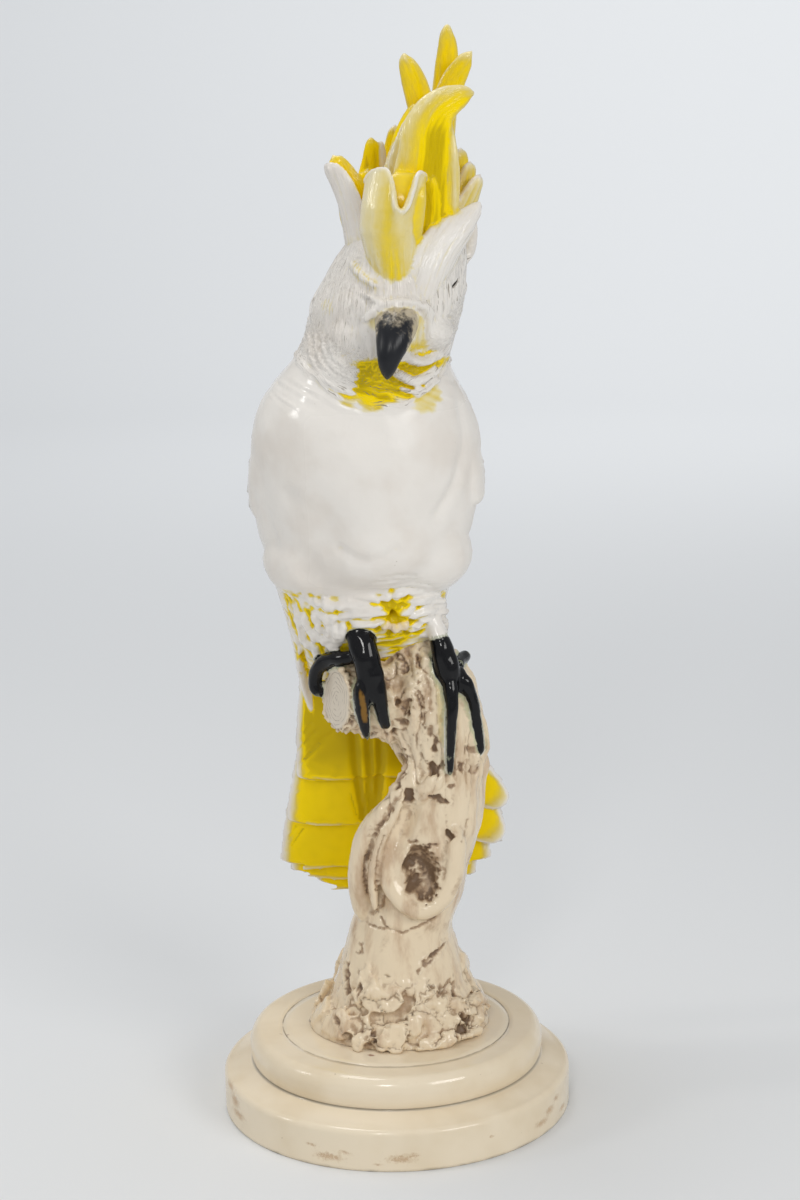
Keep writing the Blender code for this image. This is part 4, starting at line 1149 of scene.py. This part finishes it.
def tool_bark(points, normals, wood, tooled):
    """Bark combed upright on the stem, with pits and cracks torn in it."""
    where = np.nonzero(wood > 0.3)[0]
    p, height = points[where], points[where][:, 2]
    upper = rising(height, 112, 160)
    foot = rising(height, 62, 34)
    combed = clay_noise(p, (0.115, 0.115, 0.026))
    torn = clay_noise(p, (0.26, 0.26, 0.10), 31.0)
    lumps = clay_noise(p, 0.07, 7.0)
    grit = clay_noise(p, 0.5, 13.0)
    folds = clay_noise(p, (0.24, 0.24, 0.045), 51.0)
    raised = (0.5 + 2.6 * upper) * combed - upper * 1.3 * rising(-np.abs(combed), -0.12, 0.0)
    raised += 1.9 * upper * folds
    raised += ((0.25 + 0.9 * upper + 0.2 * foot) * torn + (0.9 - 0.5 * foot) * lumps
               + (0.12 + 0.1 * upper) * grit)
    tooled["lift"][where] += wood[where] * raised
    in_furrow = rising(-combed - 0.7 * folds + 0.5 * lumps, 0.12, 0.50)
    smudged = rising(lumps + 0.6 * combed, 0.05, 0.45) * rising(height, 40, 60)
    tooled["wash"][where] += wood[where] * (0.16 * upper * in_furrow + 0.52 * smudged * (1 - upper))
    front = rising(-normals[:, 1], -0.25, 0.1) * (wood > 0.3) * (points[:, 1] < 14)
    for x, z, half_width, half_height, lean, depth, dark in BARK_PITS:
        turn = radians(lean)
        beside = (points[:, 0] - x) * cos(turn) + (points[:, 2] - z) * sin(turn)
        above = (points[:, 2] - z) * cos(turn) - (points[:, 0] - x) * sin(turn)
        off = np.sqrt((beside / half_width) ** 2 + (above / half_height) ** 2)
        off += 0.45 * tooled["jitter"] + 0.7 * tooled["torn"]
        tooled["lift"] -= depth * front * rising(off, 1.25, 0.55)
        tooled["lift"] += 0.5 * front * np.exp(-((off - 1.35) / 0.3) ** 2)
        tooled["wash"] = np.maximum(tooled["wash"], 0.95 * dark * front * rising(off, 2.0, 0.2))
    for line, width, depth, dark in BARK_CRACKS:
        away = seen_from_line(points, line) + 0.9 * tooled["jitter"]
        tooled["lift"] -= depth * front * np.exp(-np.clip(away / width, 0, None) ** 2)
        broken = rising(tooled["torn"], -0.45, 0.15)
        stain = 0.85 * dark * front * broken * np.exp(-np.clip(away / (1.6 * width), 0, None) ** 2)
        tooled["wash"] = np.maximum(tooled["wash"], stain)


def flake_foot(points, wood, tooled):
    """The clay of the foot torn into flat flakes with stained gaps, smooth at the front left."""
    low = np.nonzero((wood > 0.3) & (points[:, 2] < 44) & (points[:, 2] > 0.5))[0]
    wander = np.stack([tooled[kind][low] for kind in ("jitter", "torn", "slow")], axis=1)
    spread = points[low] * (0.055, 0.055, 0.072) + 0.14 * wander
    for index, place in zip(low, spread):
        (first, second, _, _), (middle, _, _, _) = noise.voronoi(place)
        chance = noise.cell(middle * 7.3)
        x, y, z = points[index]
        flaky = min(1.0, max(0.0, (36 + 14 * tooled["slow"][index] - z) / 6))
        flaky *= max(0.12, min(1.0, (x + 36) / 8)) if y < 4 else 0.45
        gap = exp(-((second - first) / 0.085) ** 2) * flaky
        tilt = (place - np.array(middle)) @ np.array((sin(9 * chance), cos(9 * chance), 0.8))
        tooled["lift"][index] += flaky * (1.3 * chance + 2.0 * tilt) - 1.3 * gap
        tooled["wash"][index] += 0.50 * gap * (chance > -0.25)


def hollow_knot(points, wood, tooled):
    """The torn hollow of the knot, pushed in behind its lip."""
    centre, radii = (np.array(side, float) for side in KNOT_HOLLOW)
    off = (points - centre) / radii
    off[:, 0] += 0.22 * off[:, 2] + 0.34 * tooled["slow"] + 0.12 * tooled["jitter"]
    off[:, 0] *= 1 + 0.45 * np.clip(off[:, 2], 0, 1)
    span = off[:, 0] ** 2 + (off[:, 2] * (1 + 0.15 * tooled["jitter"])) ** 2
    inside = (span < 1) & (points[:, 1] < -8) & (wood > 0.3)
    back = centre[1] + radii[1] * np.sqrt(np.clip(1 - span, 0, 1)) + 2.2 * tooled["slow"]
    back += tooled["jitter"]
    points[inside, 1] = np.maximum(points[inside, 1], back[inside])
    hollowed = rising(span, 1.02, 0.80) * (points[:, 1] < -6) * (wood > 0.3)
    tooled["wash"] += hollowed * (0.70 + 0.30 * rising(tooled["slow"], 0.0, 0.3))
    tooled["lift"] *= 1 - 0.8 * hollowed


def cut_branch_end(points, wood, tooled):
    """Growth rings on the sawn end of the branch stub."""
    way = np.array(BRANCH_WAY)
    out = points - np.array(BRANCH_PITH)
    depth = out @ way
    across = out - depth[:, None] * way
    level = across @ np.cross(way, (0, 0, 1))
    reach = np.sqrt(level ** 2 + (across[:, 2] * 0.83) ** 2) + 0.9 * tooled["slow"]
    face = rising(depth, -3.0, -1.2) * rising(reach, 14.6, 13.4) * (wood > 0.3)
    bark_edge = np.exp(-((reach - 15.2) / 1.3) ** 2) * rising(depth, -7, -3) * (wood > 0.3)
    tooled["lift"] = tooled["lift"] * (1 - face) + 0.3 * face * tooled["slow"]
    tooled["wash"] = tooled["wash"] * (1 - face) - 0.05 * face
    tooled["lift"] += 1.1 * bark_edge * rising(tooled["jitter"], -0.1, 0.2)
    tooled["wash"] += 0.9 * bark_edge * rising(tooled["jitter"], 0.2, -0.1)
    return np.stack([reach, face, 0 * reach], axis=1)


def comb_neck(points, bird, collar, tooled):
    """Fine strokes combed down the head and neck, which turn to follow the hem above the breast."""
    collar = collar + 3.0 * tooled["slow"]
    neck = bird * rising(points[:, 2], collar - 1.5, collar + 1.5) * rising(points[:, 2], 452, 440)
    where = np.nonzero(neck > 0.01)[0]
    p = points[where]
    swing = np.arctan2(p[:, 0] - 2, -(p[:, 1] + 10))
    arc = 40 * swing
    lean = np.where(arc < 0, 0.75, -0.35) * np.clip(np.abs(swing) / 1.2, 0.0, 1.0)
    # Upright strokes on the head turn to follow the hem where the neck meets the breast
    round_hem = rising(collar[where] + 30 - p[:, 2], 0, 22) * rising(-p[:, 1], -5, 15)
    across_stroke = (arc * np.cos(lean) + p[:, 2] * np.sin(lean)) * (1 - round_hem)
    across_stroke += (p[:, 2] - collar[where] + 0.14 * p[:, 0]) * round_hem
    along_stroke = (-arc * np.sin(lean) + p[:, 2] * np.cos(lean)) * (1 - round_hem) + arc * round_hem
    sheet = np.stack([across_stroke * 0.30, along_stroke * 0.06, p[:, 1] * 0.01], axis=1)
    stroke = clay_noise(sheet, 1.0)
    calm = 1 - 0.9 * np.exp(-(((p[:, 0] - 6) / 19) ** 2 + ((p[:, 2] - 404) / 13) ** 2)) * (p[:, 1] < -20)
    tooled["lift"][where] += neck[where] * calm * 1.0 * stroke
    comb = np.zeros((len(points), 3))
    comb[where] = np.stack([across_stroke, along_stroke, neck[where] * calm], axis=1)
    edge = bird * np.exp(-((points[:, 2] - collar - 1.5) / 1.5) ** 2)
    tooled["lift"] += 0.9 * edge
    return comb


def press_and_scratch(points, normals, bird, tooled):
    """Dents and soft edges on the breast, scratches on belly, brow and tail, and the slit eyes."""
    for centre, width, depth in BREAST_DENTS:
        tooled["lift"] -= 1.7 * depth * np.exp(-((points - np.array(centre)) ** 2).sum(1) / width ** 2)
    front = bird * (points[:, 1] < -10)
    tooled["lift"] -= 1.5 * front * np.exp(-(seen_from_line(points, SWELL_EDGE) / 3.2) ** 2)
    for line in WING_LINES:
        tooled["lift"] -= 2.4 * bird * np.exp(-(from_line(points, line) / 4.5) ** 2)
    for line in BELLY_SCRATCHES:
        cut = front * np.exp(-((seen_from_line(points, line) + 0.8 * tooled["jitter"]) / 0.9) ** 2)
        tooled["lift"] -= 0.5 * cut
        tooled["scratch"] += 0.7 * cut * (tooled["jitter"] > 0.05)
    for line in TAIL_STROKES:
        cut = (points[:, 1] > 20) * rising(-normals[:, 1], 0.0, 0.3)
        cut = cut * np.exp(-(seen_from_line(points, line) / 0.7) ** 2)
        tooled["lift"] -= 0.5 * cut
        tooled["scratch"] += 0.6 * cut * (tooled["jitter"] > 0.0) * (points[:, 2] > 104)
    for line in TAIL_CREASES:
        cut = (points[:, 1] > 20) * bird * np.exp(-(seen_from_line(points, line) / 2.6) ** 2)
        tooled["lift"] -= 2.2 * cut
        tooled["crease"] += cut
    for line in EYE_SLITS:
        cut = np.exp(-(from_line(points, line) / 1.0) ** 4)
        tooled["lift"] -= 1.2 * cut
        tooled["scratch"] += 2.0 * cut


def brush_throat(points, bird, yellow, tooled):
    """Yellow brushed between the rolls of the throat, streaked along the strokes of the comb, with amber
    painted shade between the crescent rolls.
    """
    brushed = np.zeros(len(points))
    slanted = np.stack([points[:, 0] * 0.05, points[:, 1] * 0.03,
                        (points[:, 2] + 0.45 * points[:, 0]) * 0.42], axis=1)
    streak = clay_noise(slanted, 1.0, 3.0)
    for x, z, half_width, half_height, strength in THROAT_YELLOW_AND_SHADE:
        sunk = z + 0.12 * (points[:, 0] - x)
        off = ((points[:, 0] - x) / half_width) ** 2 + ((points[:, 2] - sunk) / half_height) ** 2
        brushed = np.maximum(brushed, strength * rising(off + 0.7 * streak, 1.6, 0.8))
    front = bird * (points[:, 1] < -15)
    lower = rising(points[:, 2], 384, 378) * rising(points[:, 2], 360, 364)
    tooled["lift"] += 0.6 * front * lower * streak
    return yellow + front * brushed * np.where(yellow > -0.4, 1.0, 0.75)


def ruffle_belly(points, normals, bird, yellow, tooled):
    """Down scratched across the belly and down the flank, with yellow left in its grooves."""
    band = bird * rising(points[:, 2], 196, 208) * rising(points[:, 2], 264, 257) * (points[:, 1] < 40)
    flank = rising(-points[:, 0], 34, 40) * rising(-normals[:, 1], 0.10, 0.45)
    band *= np.maximum(flank, (yellow != 0) * (points[:, 1] < 26))
    where = np.nonzero(band > 0.02)[0]
    p = points[where]
    left = rising(-p[:, 0], 16, 26)
    across = clay_noise(p, (0.07, 0.06, 0.30), 2.0) + 0.5 * clay_noise(p, (0.16, 0.12, 0.55), 62.0)
    down = clay_noise(p, (0.28, 0.10, 0.07), 11.0) + 0.5 * clay_noise(p, 0.3, 72.0)
    ridge = across * (1 - left) + down * left
    tooled["lift"][where] += band[where] * 1.9 * ridge
    yellow = yellow.copy()
    sunk = rising(-ridge, -0.16, 0.34)
    yellow[where] += band[where] * ((1.2 - 0.1 * left) * sunk - 0.16) * (yellow[where] > -0.4)
    centre, tips = STAR
    for tip in tips:
        ray = seen_from_line(points, (centre, tip))
        belly = bird * (points[:, 1] < -5)
        tooled["lift"] -= 1.9 * belly * np.exp(-(ray / 1.4) ** 2)
        yellow += belly * 0.9 * np.exp(-(ray / 2.0) ** 4)
    return yellow


def lay_feathers(points, normals, bird, collar, tooled):
    """Rows of small feathers over the back and shoulders, long ones down the wings and the tail."""
    behind = bird * rising(normals[:, 1], -0.05, 0.35) * rising(collar - points[:, 2], 2, 8)
    behind *= rising(points[:, 2], 58, 66)
    where = np.nonzero(behind > 0.01)[0]
    x, y, z = points[where].T
    around = 58 * np.arctan2(x + 10, y + 12) + 1.5 * tooled["slow"][where]
    row = (382 - z + 3.0 * tooled["slow"][where]) / 15
    upper = np.floor(row) - 1
    shares, places = [], []
    for feather in (upper, upper + 1):
        off = (around / 13 + 0.5 * feather) % 1 - 0.5
        tip = feather + 1.75 - 3.0 * off ** 2
        shares.append((row - feather) / (tip - feather))
        places.append(off * 13)
    own_upper = shares[0] < 1
    share, across = np.where(own_upper, shares[0], shares[1]), np.where(own_upper, places[0], places[1])
    small = rising(z, 246, 262)
    taper = 8.5 * (0.72 + 0.28 * np.clip((z - 130) / 120, 0, 1)) + 3.0 * (z < 128)
    strip = (x + 8) / taper + 0.06 * tooled["slow"][where]
    beside = (np.where(x < -8, -strip, strip)) % 1
    lift = 1.5 * share ** 3 * small + (1.3 * beside ** 2) * (1 - small)
    tooled["lift"][where] += behind[where] * lift
    across = across * small + (beside - 0.5) * taper * (1 - small)
    quill = np.exp(-(across / 0.7) ** 2)
    tooled["lift"][where] += behind[where] * 0.45 * quill
    barbs = np.zeros((len(points), 3))
    barbs[where] = np.stack([-z + 1.2 * np.abs(across), across, 0.42 * behind[where]], axis=1)
    return barbs


skin, forms_mesh = fuse(clay)
clay.free()
edges = edges_of(skin)
points = wiped(points_of(skin), edges, 3)
x, y, z = points.T  # the columns of the points, which follow every later change of them
read = read_notes(forms_mesh, points)

# The breast and shoulders are sponged smooth, up to the hem of the neck's down
collar = np.minimum(392, 363 + np.where(x < 4, 0.0095, 0.018) * (x - 4) ** 2)
breast = rising(z, 258, 268) * rising(collar - z, 0, 6) * rising(-y, 0, 12)
breast *= rising(x, -66, -58) * rising(-x, -44, -36) * (1 - read["black"])
shoulders = rising(z, 340, 352) * rising(collar - z, 0, 5)
shoulders *= rising(-y, -30, -15)
breast = np.maximum(breast, shoulders)
points += (wiped(points, edges, 60) - points) * breast[:, None]
wood = wiped(read["cream"], edges, 2)[:, 0] * (1 - read["black"])
bird = (1 - wood) * (1 - read["black"])
normals = normals_of(skin, points)

# What the tools do at each point: how far it is lifted, how it is washed, scratched and creased
tooled = {name: np.zeros(len(points)) for name in ("lift", "wash", "scratch", "crease")}
tooled["jitter"] = clay_noise(points, 0.55)
tooled["slow"] = clay_noise(points, 0.13, 5.0)
tooled["torn"] = clay_noise(points, 0.27, 41.0)
tooled["lift"] += 0.35 * tooled["slow"] * bird * (z < 372)
tool_bark(points, normals, wood, tooled)
flake_foot(points, wood, tooled)
hollow_knot(points, wood, tooled)
sawn = cut_branch_end(points, wood, tooled)
leaf = rising(read["leaf"], 0.3, 0.9)
down = bird * (1 - leaf)
comb = comb_neck(points, down, collar, tooled)
press_and_scratch(points, normals, down, tooled)
barbed = lay_feathers(points, normals, down, collar, tooled)

# Yellow brushed on the throat and belly, and none on the back of the crown and of the tail
crown_back = rising(y, 0, 12) * rising(-z, -476, -462) * (z > 425)
facing_back = rising(normals[:, 1], 0.0, 0.45) * (z < 262) * (y > 10)
yellow = brush_throat(points, bird, read["yellow"] * (1 - crown_back) * (1 - facing_back), tooled)
yellow = ruffle_belly(points, normals, bird, yellow, tooled)

# Knuckles on the black feet, and veins along the petals
knuckled = rising(read["black"], 0.6, 0.9) * (z < 300)
tooled["lift"] += knuckled * 0.6 * tooled["slow"]
veins = np.stack([0.45 * read["across"], 0.035 * read["along"], 0.03 * y], axis=1)
tooled["lift"] += 0.6 * leaf * clay_noise(veins, 1.0)
veined = np.stack([read["across"], read["along"], 0.45 * leaf], axis=1)
comb = np.where(comb[:, 2:] > 0.01, comb, np.where(leaf[:, None] > 0.05, veined, barbed))

# Amber on the black and a run of yellow on the wood; more yellow, run to amber, high on the tail and in its
# creases is painted shade, and in the petals it is thicker glaze with painted shade
amber = np.exp(-(seen_from_line(points, AMBER_STREAK) / 1.9) ** 4) * read["black"] * (y < -25)
glaze_run = np.exp(-(seen_from_line(points, GLAZE_RUN) / 4.0) ** 4) * (y < 0)
# Painted shade: the tail's yellow runs to amber higher up, under the body, and in its creases
painted_tail_shade = 0.36 * rising(z, 118, 174) + 0.4 * tooled["crease"]
yellow += painted_tail_shade * (z < 206) * (y > 18) * (yellow > 0.5)
# Thicker glaze and painted shade: more yellow, running to amber, in the hollow of the petals high in the
# crest
pooled_and_shaded = rising(z, 432, 446) * rising(-z, -516, -500) * rising(leaf, 0.7, 0.95)
yellow += 0.32 * pooled_and_shaded * (y < -12) * rising(yellow, 0.45, 1.05)
yellow = wiped(np.clip(yellow, -0.35, 1.3), edges, 2)[:, 0]

# Black with its green halo on the wood, the sponged breast, and the wash
black = wiped(read["black"], edges, 3)[:, 0]
sponged = bird * rising(z, 258, 270) * rising(-z, -372, -352)
sponged *= rising(x, -52, -34)
halo = np.clip(wiped(read["black"], edges, 24)[:, 0] * wood * (z < 300), 0, 1)
tooled["wash"] = wiped(tooled["wash"], edges, 2)[:, 0]

# The tooling moves the skin, whose hollows hold more glaze
points += normals * (tooled["lift"] * rising(z, 0.4, 4.0))[:, None]
points[:, 2] = np.maximum(z, 0.0)
normals = normals_of(skin, points)
hollow_fine = ((wiped(points, edges, 4) - points) * normals).sum(1) / 0.22
hollow_broad = ((wiped(points, edges, 30) - points) * normals).sum(1) / 1.4

PAINTED = {"halo": halo, "comb": comb, "sawn": sawn, "amber": amber, "fringed": 1.0 * (z < 300),
           "run": glaze_run, "yellow": yellow, "cream": wood, "black": black,
           "wash": np.clip(tooled["wash"], -0.5, 1.6),
           "scratch": np.clip(tooled["scratch"], 0, 2), "sponged": sponged,
           "hollow_fine": np.clip(hollow_fine, -1, 1),
           "hollow_broad": np.clip(hollow_broad, -1, 1)}


def thinned(skin, points):
    """The skin with fewer triangles where it is flat, and what is painted on it."""
    whole = bpy.data.objects.new("whole_skin", skin)
    bpy.context.scene.collection.objects.link(whole)
    fewer = whole.modifiers.new("fewer faces", 'DECIMATE')
    triangles = sum(polygon.loop_total - 2 for polygon in skin.polygons)
    fewer.ratio = min(1.0, MOST_TRIANGLES / triangles)
    fewer.use_collapse_triangulate = True
    thin = bpy.data.meshes.new_from_object(whole.evaluated_get(bpy.context.evaluated_depsgraph_get()))
    bpy.data.objects.remove(whole)
    tree = KDTree(len(points))
    for index, point in enumerate(points):
        tree.insert(point, index)
    tree.balance()
    nearest = np.array([tree.find(point)[1] for point in map(Vector, points_of(thin))])
    for name, values in PAINTED.items():
        kind, field = ('FLOAT', "value") if values.ndim == 1 else ('FLOAT_VECTOR', "vector")
        thin.attributes.new(name, kind, 'POINT').data.foreach_set(
            field, values[nearest].astype(np.float32).ravel())
    return thin


figure_mesh = thinned(skin, points)
figure_mesh.name = "cockatoo_and_trunk"
figure_mesh.transform(Matrix.Translation((0, 0, SEAT)) @ Matrix.Scale(0.001, 4))
figure_mesh.polygons.foreach_set("use_smooth", [True] * len(figure_mesh.polygons))
figure = bpy.data.objects.new("cockatoo_and_trunk", figure_mesh)
bpy.context.scene.collection.objects.link(figure)


# The glazes: white over the bird, yellow that runs from cream to amber as it thickens, its amber also painted
# shade in places, cream on the wood with a brown wash wiped into its hollows, and black that breaks to pale
# green on its edges, with a bluish painted sheen on the beak.
BIRD_WHITE = (0.86, 0.82, 0.765, 1.0)
BIRD_WHITE_THIN = (0.80, 0.745, 0.68, 1.0)
YELLOW_CREAM = (0.83, 0.73, 0.42, 1.0)
YELLOW_THIN = (0.76, 0.58, 0.07, 1.0)
YELLOW_THICK = (1.0, 0.735, 0.002, 1.0)
YELLOW_AMBER_AND_SHADE = (0.52, 0.37, 0.004, 1.0)
WOOD_CREAM = (0.83, 0.69, 0.495, 1.0)
WOOD_PINK = (0.62, 0.455, 0.30, 1.0)
WASH_BROWN = (0.37, 0.235, 0.135, 1.0)
WASH_DARK = (0.125, 0.072, 0.040, 1.0)
BLACK_GLAZE = (0.006, 0.006, 0.007, 1.0)
BLACK_BROKEN = (0.40, 0.42, 0.30, 1.0)
BLACK_AMBER = (0.30, 0.15, 0.02, 1.0)
PIN_HOLE_BROWN = (0.35, 0.27, 0.18, 1.0)
RUN_YELLOW = (0.68, 0.55, 0.26, 1.0)
HALO_GREEN = (0.54, 0.54, 0.34, 1.0)
SAWN_CREAM = (0.74, 0.66, 0.55, 1.0)
RING_BROWN = (0.36, 0.29, 0.22, 1.0)
DASH_GREY = (0.22, 0.18, 0.13, 1.0)
SCRATCH_BROWN = (0.16, 0.125, 0.085, 1.0)
SLIT_DARK = (0.02, 0.014, 0.01, 1.0)
BEAK_TAN = (0.40, 0.32, 0.19, 1.0)
BEAK_PAINTED_SHEEN = (0.030, 0.033, 0.042, 1.0)


def along_stroke(tree, kept, across_scale, along_scale, detail=2.0):
    """Noise drawn out along the strokes that are kept on the piece."""
    mapping = add_node(tree, "ShaderNodeMapping")
    mapping.inputs["Scale"].default_value = (across_scale, along_scale, 0.0)
    tree.links.new(kept, mapping.inputs["Vector"])
    grain = add_node(tree, "ShaderNodeTexNoise")
    grain.inputs["Scale"].default_value = 1.0
    grain.inputs["Detail"].default_value = detail
    tree.links.new(mapping.outputs["Vector"], grain.inputs["Vector"])
    return grain.outputs["Fac"]


def parts_of(tree, name):
    """A kept vector and its three parts."""
    kept = add_node(tree, "ShaderNodeAttribute", attribute_name=name).outputs["Vector"]
    split = add_node(tree, "ShaderNodeSeparateXYZ")
    tree.links.new(kept, split.inputs[0])
    return kept, split.outputs


def painted_glazes():
    material, tree, shader = new_material("painted_glazes")
    hollow_fine, hollow_broad = note(tree, "hollow_fine"), note(tree, "hollow_broad")
    strokes, stroke_parts = parts_of(tree, "comb")
    combed = stroke_parts["Z"]

    # White bird, a little greyer where the glaze is thin
    colour = laid_over(tree, BIRD_WHITE, BIRD_WHITE_THIN, fade(tree, object_noise(tree, 30.0), 0.40, 0.70))
    pin_hole = patch(tree, object_noise(tree, 260.0, 2.0), 0.79, 0.015, 0.1, 1200.0)
    colour = laid_over(tree, colour, PIN_HOLE_BROWN, pin_hole, 0.5)

    # Yellow: the glaze pools in hollows and thins on rims. Its amber also lays painted shade high on the
    # tail, in its creases, in the petals and between the throat rolls
    pooled_and_shaded = sum_up(tree, 'MULTIPLY_ADD', hollow_fine, 0.15, note(tree, "yellow"))
    pooled_and_shaded = sum_up(tree, 'MULTIPLY_ADD', hollow_broad, 0.10, pooled_and_shaded)
    colour = laid_over(tree, colour, YELLOW_CREAM, patch(tree, pooled_and_shaded, 0.22, 0.14, 0.18, 260.0))
    colour = laid_over(tree, colour, YELLOW_THIN, patch(tree, pooled_and_shaded, 0.48, 0.22, 0.18, 180.0))
    yellowed = patch(tree, pooled_and_shaded, 0.72, 0.20, 0.18, 240.0)
    colour = laid_over(tree, colour, YELLOW_THICK, yellowed)
    thick = sum_up(tree, 'MULTIPLY', fade(tree, pooled_and_shaded, 0.95, 1.25), 0.75)
    colour = laid_over(tree, colour, YELLOW_AMBER_AND_SHADE, thick)

    # Cream wood with a brown wash
    streaks = object_noise(tree, 95.0, 4.0, 0.6, (1.0, 1.0, 0.28))
    wood = laid_over(tree, WOOD_CREAM, WOOD_PINK, fade(tree, streaks, 0.46, 0.72))
    wash = sum_up(tree, 'MULTIPLY_ADD', hollow_fine, 0.35, note(tree, "wash"))
    wash = sum_up(tree, 'MULTIPLY_ADD', hollow_broad, 0.30, wash)
    stained = patch(tree, wash, 0.50, 0.40, 0.9, 260.0)
    wood = laid_over(tree, wood, WASH_BROWN, stained, 0.82)
    wood = laid_over(tree, wood, WASH_DARK, patch(tree, wash, 1.02, 0.26, 0.8, 420.0), 0.75)
    wood = laid_over(tree, wood, RUN_YELLOW, patch(tree, note(tree, "run"), 0.5, 0.3, 0.8, 260.0), 0.65)
    wood = laid_over(tree, wood, HALO_GREEN, patch(tree, note(tree, "halo"), 0.16, 0.10, 0.4, 300.0), 0.85)
    sawn_parts = parts_of(tree, "sawn")[1]
    wander = sum_up(tree, 'MULTIPLY', object_noise(tree, 120.0, 3.0), 4.0)
    ring = sum_up(tree, 'SINE', sum_up(tree, 'MULTIPLY_ADD', sawn_parts["X"], 3.1, wander))
    broken = fade(tree, object_noise(tree, 210.0, 2.0), 0.38, 0.55)
    ring = sum_up(tree, 'MULTIPLY', fade(tree, ring, 0.72, 0.98), broken)
    ring = sum_up(tree, 'MULTIPLY', ring, sawn_parts["Y"])
    wood = laid_over(tree, wood, SAWN_CREAM, sawn_parts["Y"], 0.8)
    wood = laid_over(tree, wood, RING_BROWN, ring, 0.6)
    on_wood = patch(tree, note(tree, "cream"), 0.5, 0.12, 0.35, 300.0)
    colour = laid_over(tree, colour, wood, on_wood)

    # Fine strokes of the comb, some with grey left in them
    fine_stroke = along_stroke(tree, strokes, 0.85, 0.10)
    dash = patch(tree, along_stroke(tree, strokes, 0.95, 0.13, 3.0), 0.612, 0.025, 0.08, 900.0)
    gathered = fade(tree, object_noise(tree, 34.0), 0.40, 0.50)
    gathered = sum_up(tree, 'MULTIPLY', fade(tree, combed, 0.5, 0.9), gathered)
    dash = sum_up(tree, 'MULTIPLY', dash, gathered)
    colour = laid_over(tree, colour, DASH_GREY, dash, 0.75)
    stroke_relief = sum_up(tree, 'MULTIPLY', sum_up(tree, 'SUBTRACT', fine_stroke, 0.5), combed)

    # Strokes of grey and brown in the scratches
    scratch = patch(tree, note(tree, "scratch"), 0.62, 0.16, 0.6, 700.0)
    colour = laid_over(tree, colour, SCRATCH_BROWN, scratch, 0.55)
    slit = fade(tree, note(tree, "scratch"), 1.2, 1.7)
    colour = laid_over(tree, colour, SLIT_DARK, slit)

    # Black feet and beak, broken to pale green where the glaze is thin
    covered = note(tree, "black")
    fringed = note(tree, "fringed")
    mottled = sum_up(tree, 'MULTIPLY', patch(tree, covered, 0.34, 0.10, 0.5, 190.0),
                     sum_up(tree, 'SUBTRACT', 1.0, fringed))
    colour = laid_over(tree, colour, BEAK_TAN, mottled, 0.75)
    fringe = patch(tree, covered, 0.30, 0.10, 0.25, 400.0)
    fringe = sum_up(tree, 'MULTIPLY', fringe, fade(tree, fringed, 0.3, 0.7))
    colour = laid_over(tree, colour, BLACK_BROKEN, fringe, 0.72)
    blacked = patch(tree, covered, 0.56, 0.10, 0.55, 230.0)
    worn_edge = patch(tree, sum_up(tree, 'MULTIPLY', hollow_fine, -1.0), 0.85, 0.12, 0.3, 500.0)
    black = laid_over(tree, BLACK_GLAZE, BLACK_BROKEN, worn_edge, 0.5)
    black = laid_over(tree, black, BLACK_AMBER, patch(tree, note(tree, "amber"), 0.6, 0.35, 0.9, 300.0), 0.7)
    colour = laid_over(tree, colour, black, blacked)
    shader.inputs["IOR"].default_value = 1.42
    # Painted sheen: a bluish grey laid over the black of the beak
    beak_skin = sum_up(tree, 'MULTIPLY', blacked, sum_up(tree, 'SUBTRACT', 1.0, fringed))
    colour = laid_over(tree, colour, BEAK_PAINTED_SHEEN, beak_skin, 0.3)
    glancing = sum_up(tree, 'MULTIPLY_ADD', yellowed, -0.36, 0.5)
    glancing = sum_up(tree, 'MULTIPLY_ADD', blacked, -0.14, glancing)
    tree.links.new(colour, shader.inputs["Base Color"])
    tree.links.new(glancing, shader.inputs["Specular IOR Level"])

    # Smooth where glaze pools, rough in the torn bark, softer on the white bird than on the wood
    bark = object_noise(tree, 190.0, 5.0, 0.6, (1.0, 1.0, 0.3))
    bark_relief = sum_up(tree, 'MULTIPLY', sum_up(tree, 'MULTIPLY', bark, on_wood), sum_up(
        tree, 'MULTIPLY_ADD', stained, 1.6, 0.10))
    relief = sum_up(tree, 'MULTIPLY_ADD', stroke_relief, 7.0, bark_relief)
    relief = sum_up(tree, 'MULTIPLY_ADD', ring, -0.5, relief)
    white_skin = sum_up(tree, 'SUBTRACT', sum_up(tree, 'SUBTRACT', 1.0, on_wood), blacked, clamp=True)
    dull = sum_up(tree, 'MULTIPLY', stained, sum_up(tree, 'MULTIPLY', on_wood, 0.7))
    dull = sum_up(tree, 'MULTIPLY_ADD', white_skin, 0.12, dull)
    dull = sum_up(tree, 'MULTIPLY_ADD', note(tree, "sponged"), 0.55, dull)
    dull = sum_up(tree, 'MULTIPLY_ADD', beak_skin, 0.55, dull)
    glaze_finish(tree, shader, 0.08, 0.03, 45.0, dull, relief, 0.30)
    return material


figure_mesh.materials.append(painted_glazes())
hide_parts("cockatoo_on_trunk")
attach(figure, "root")
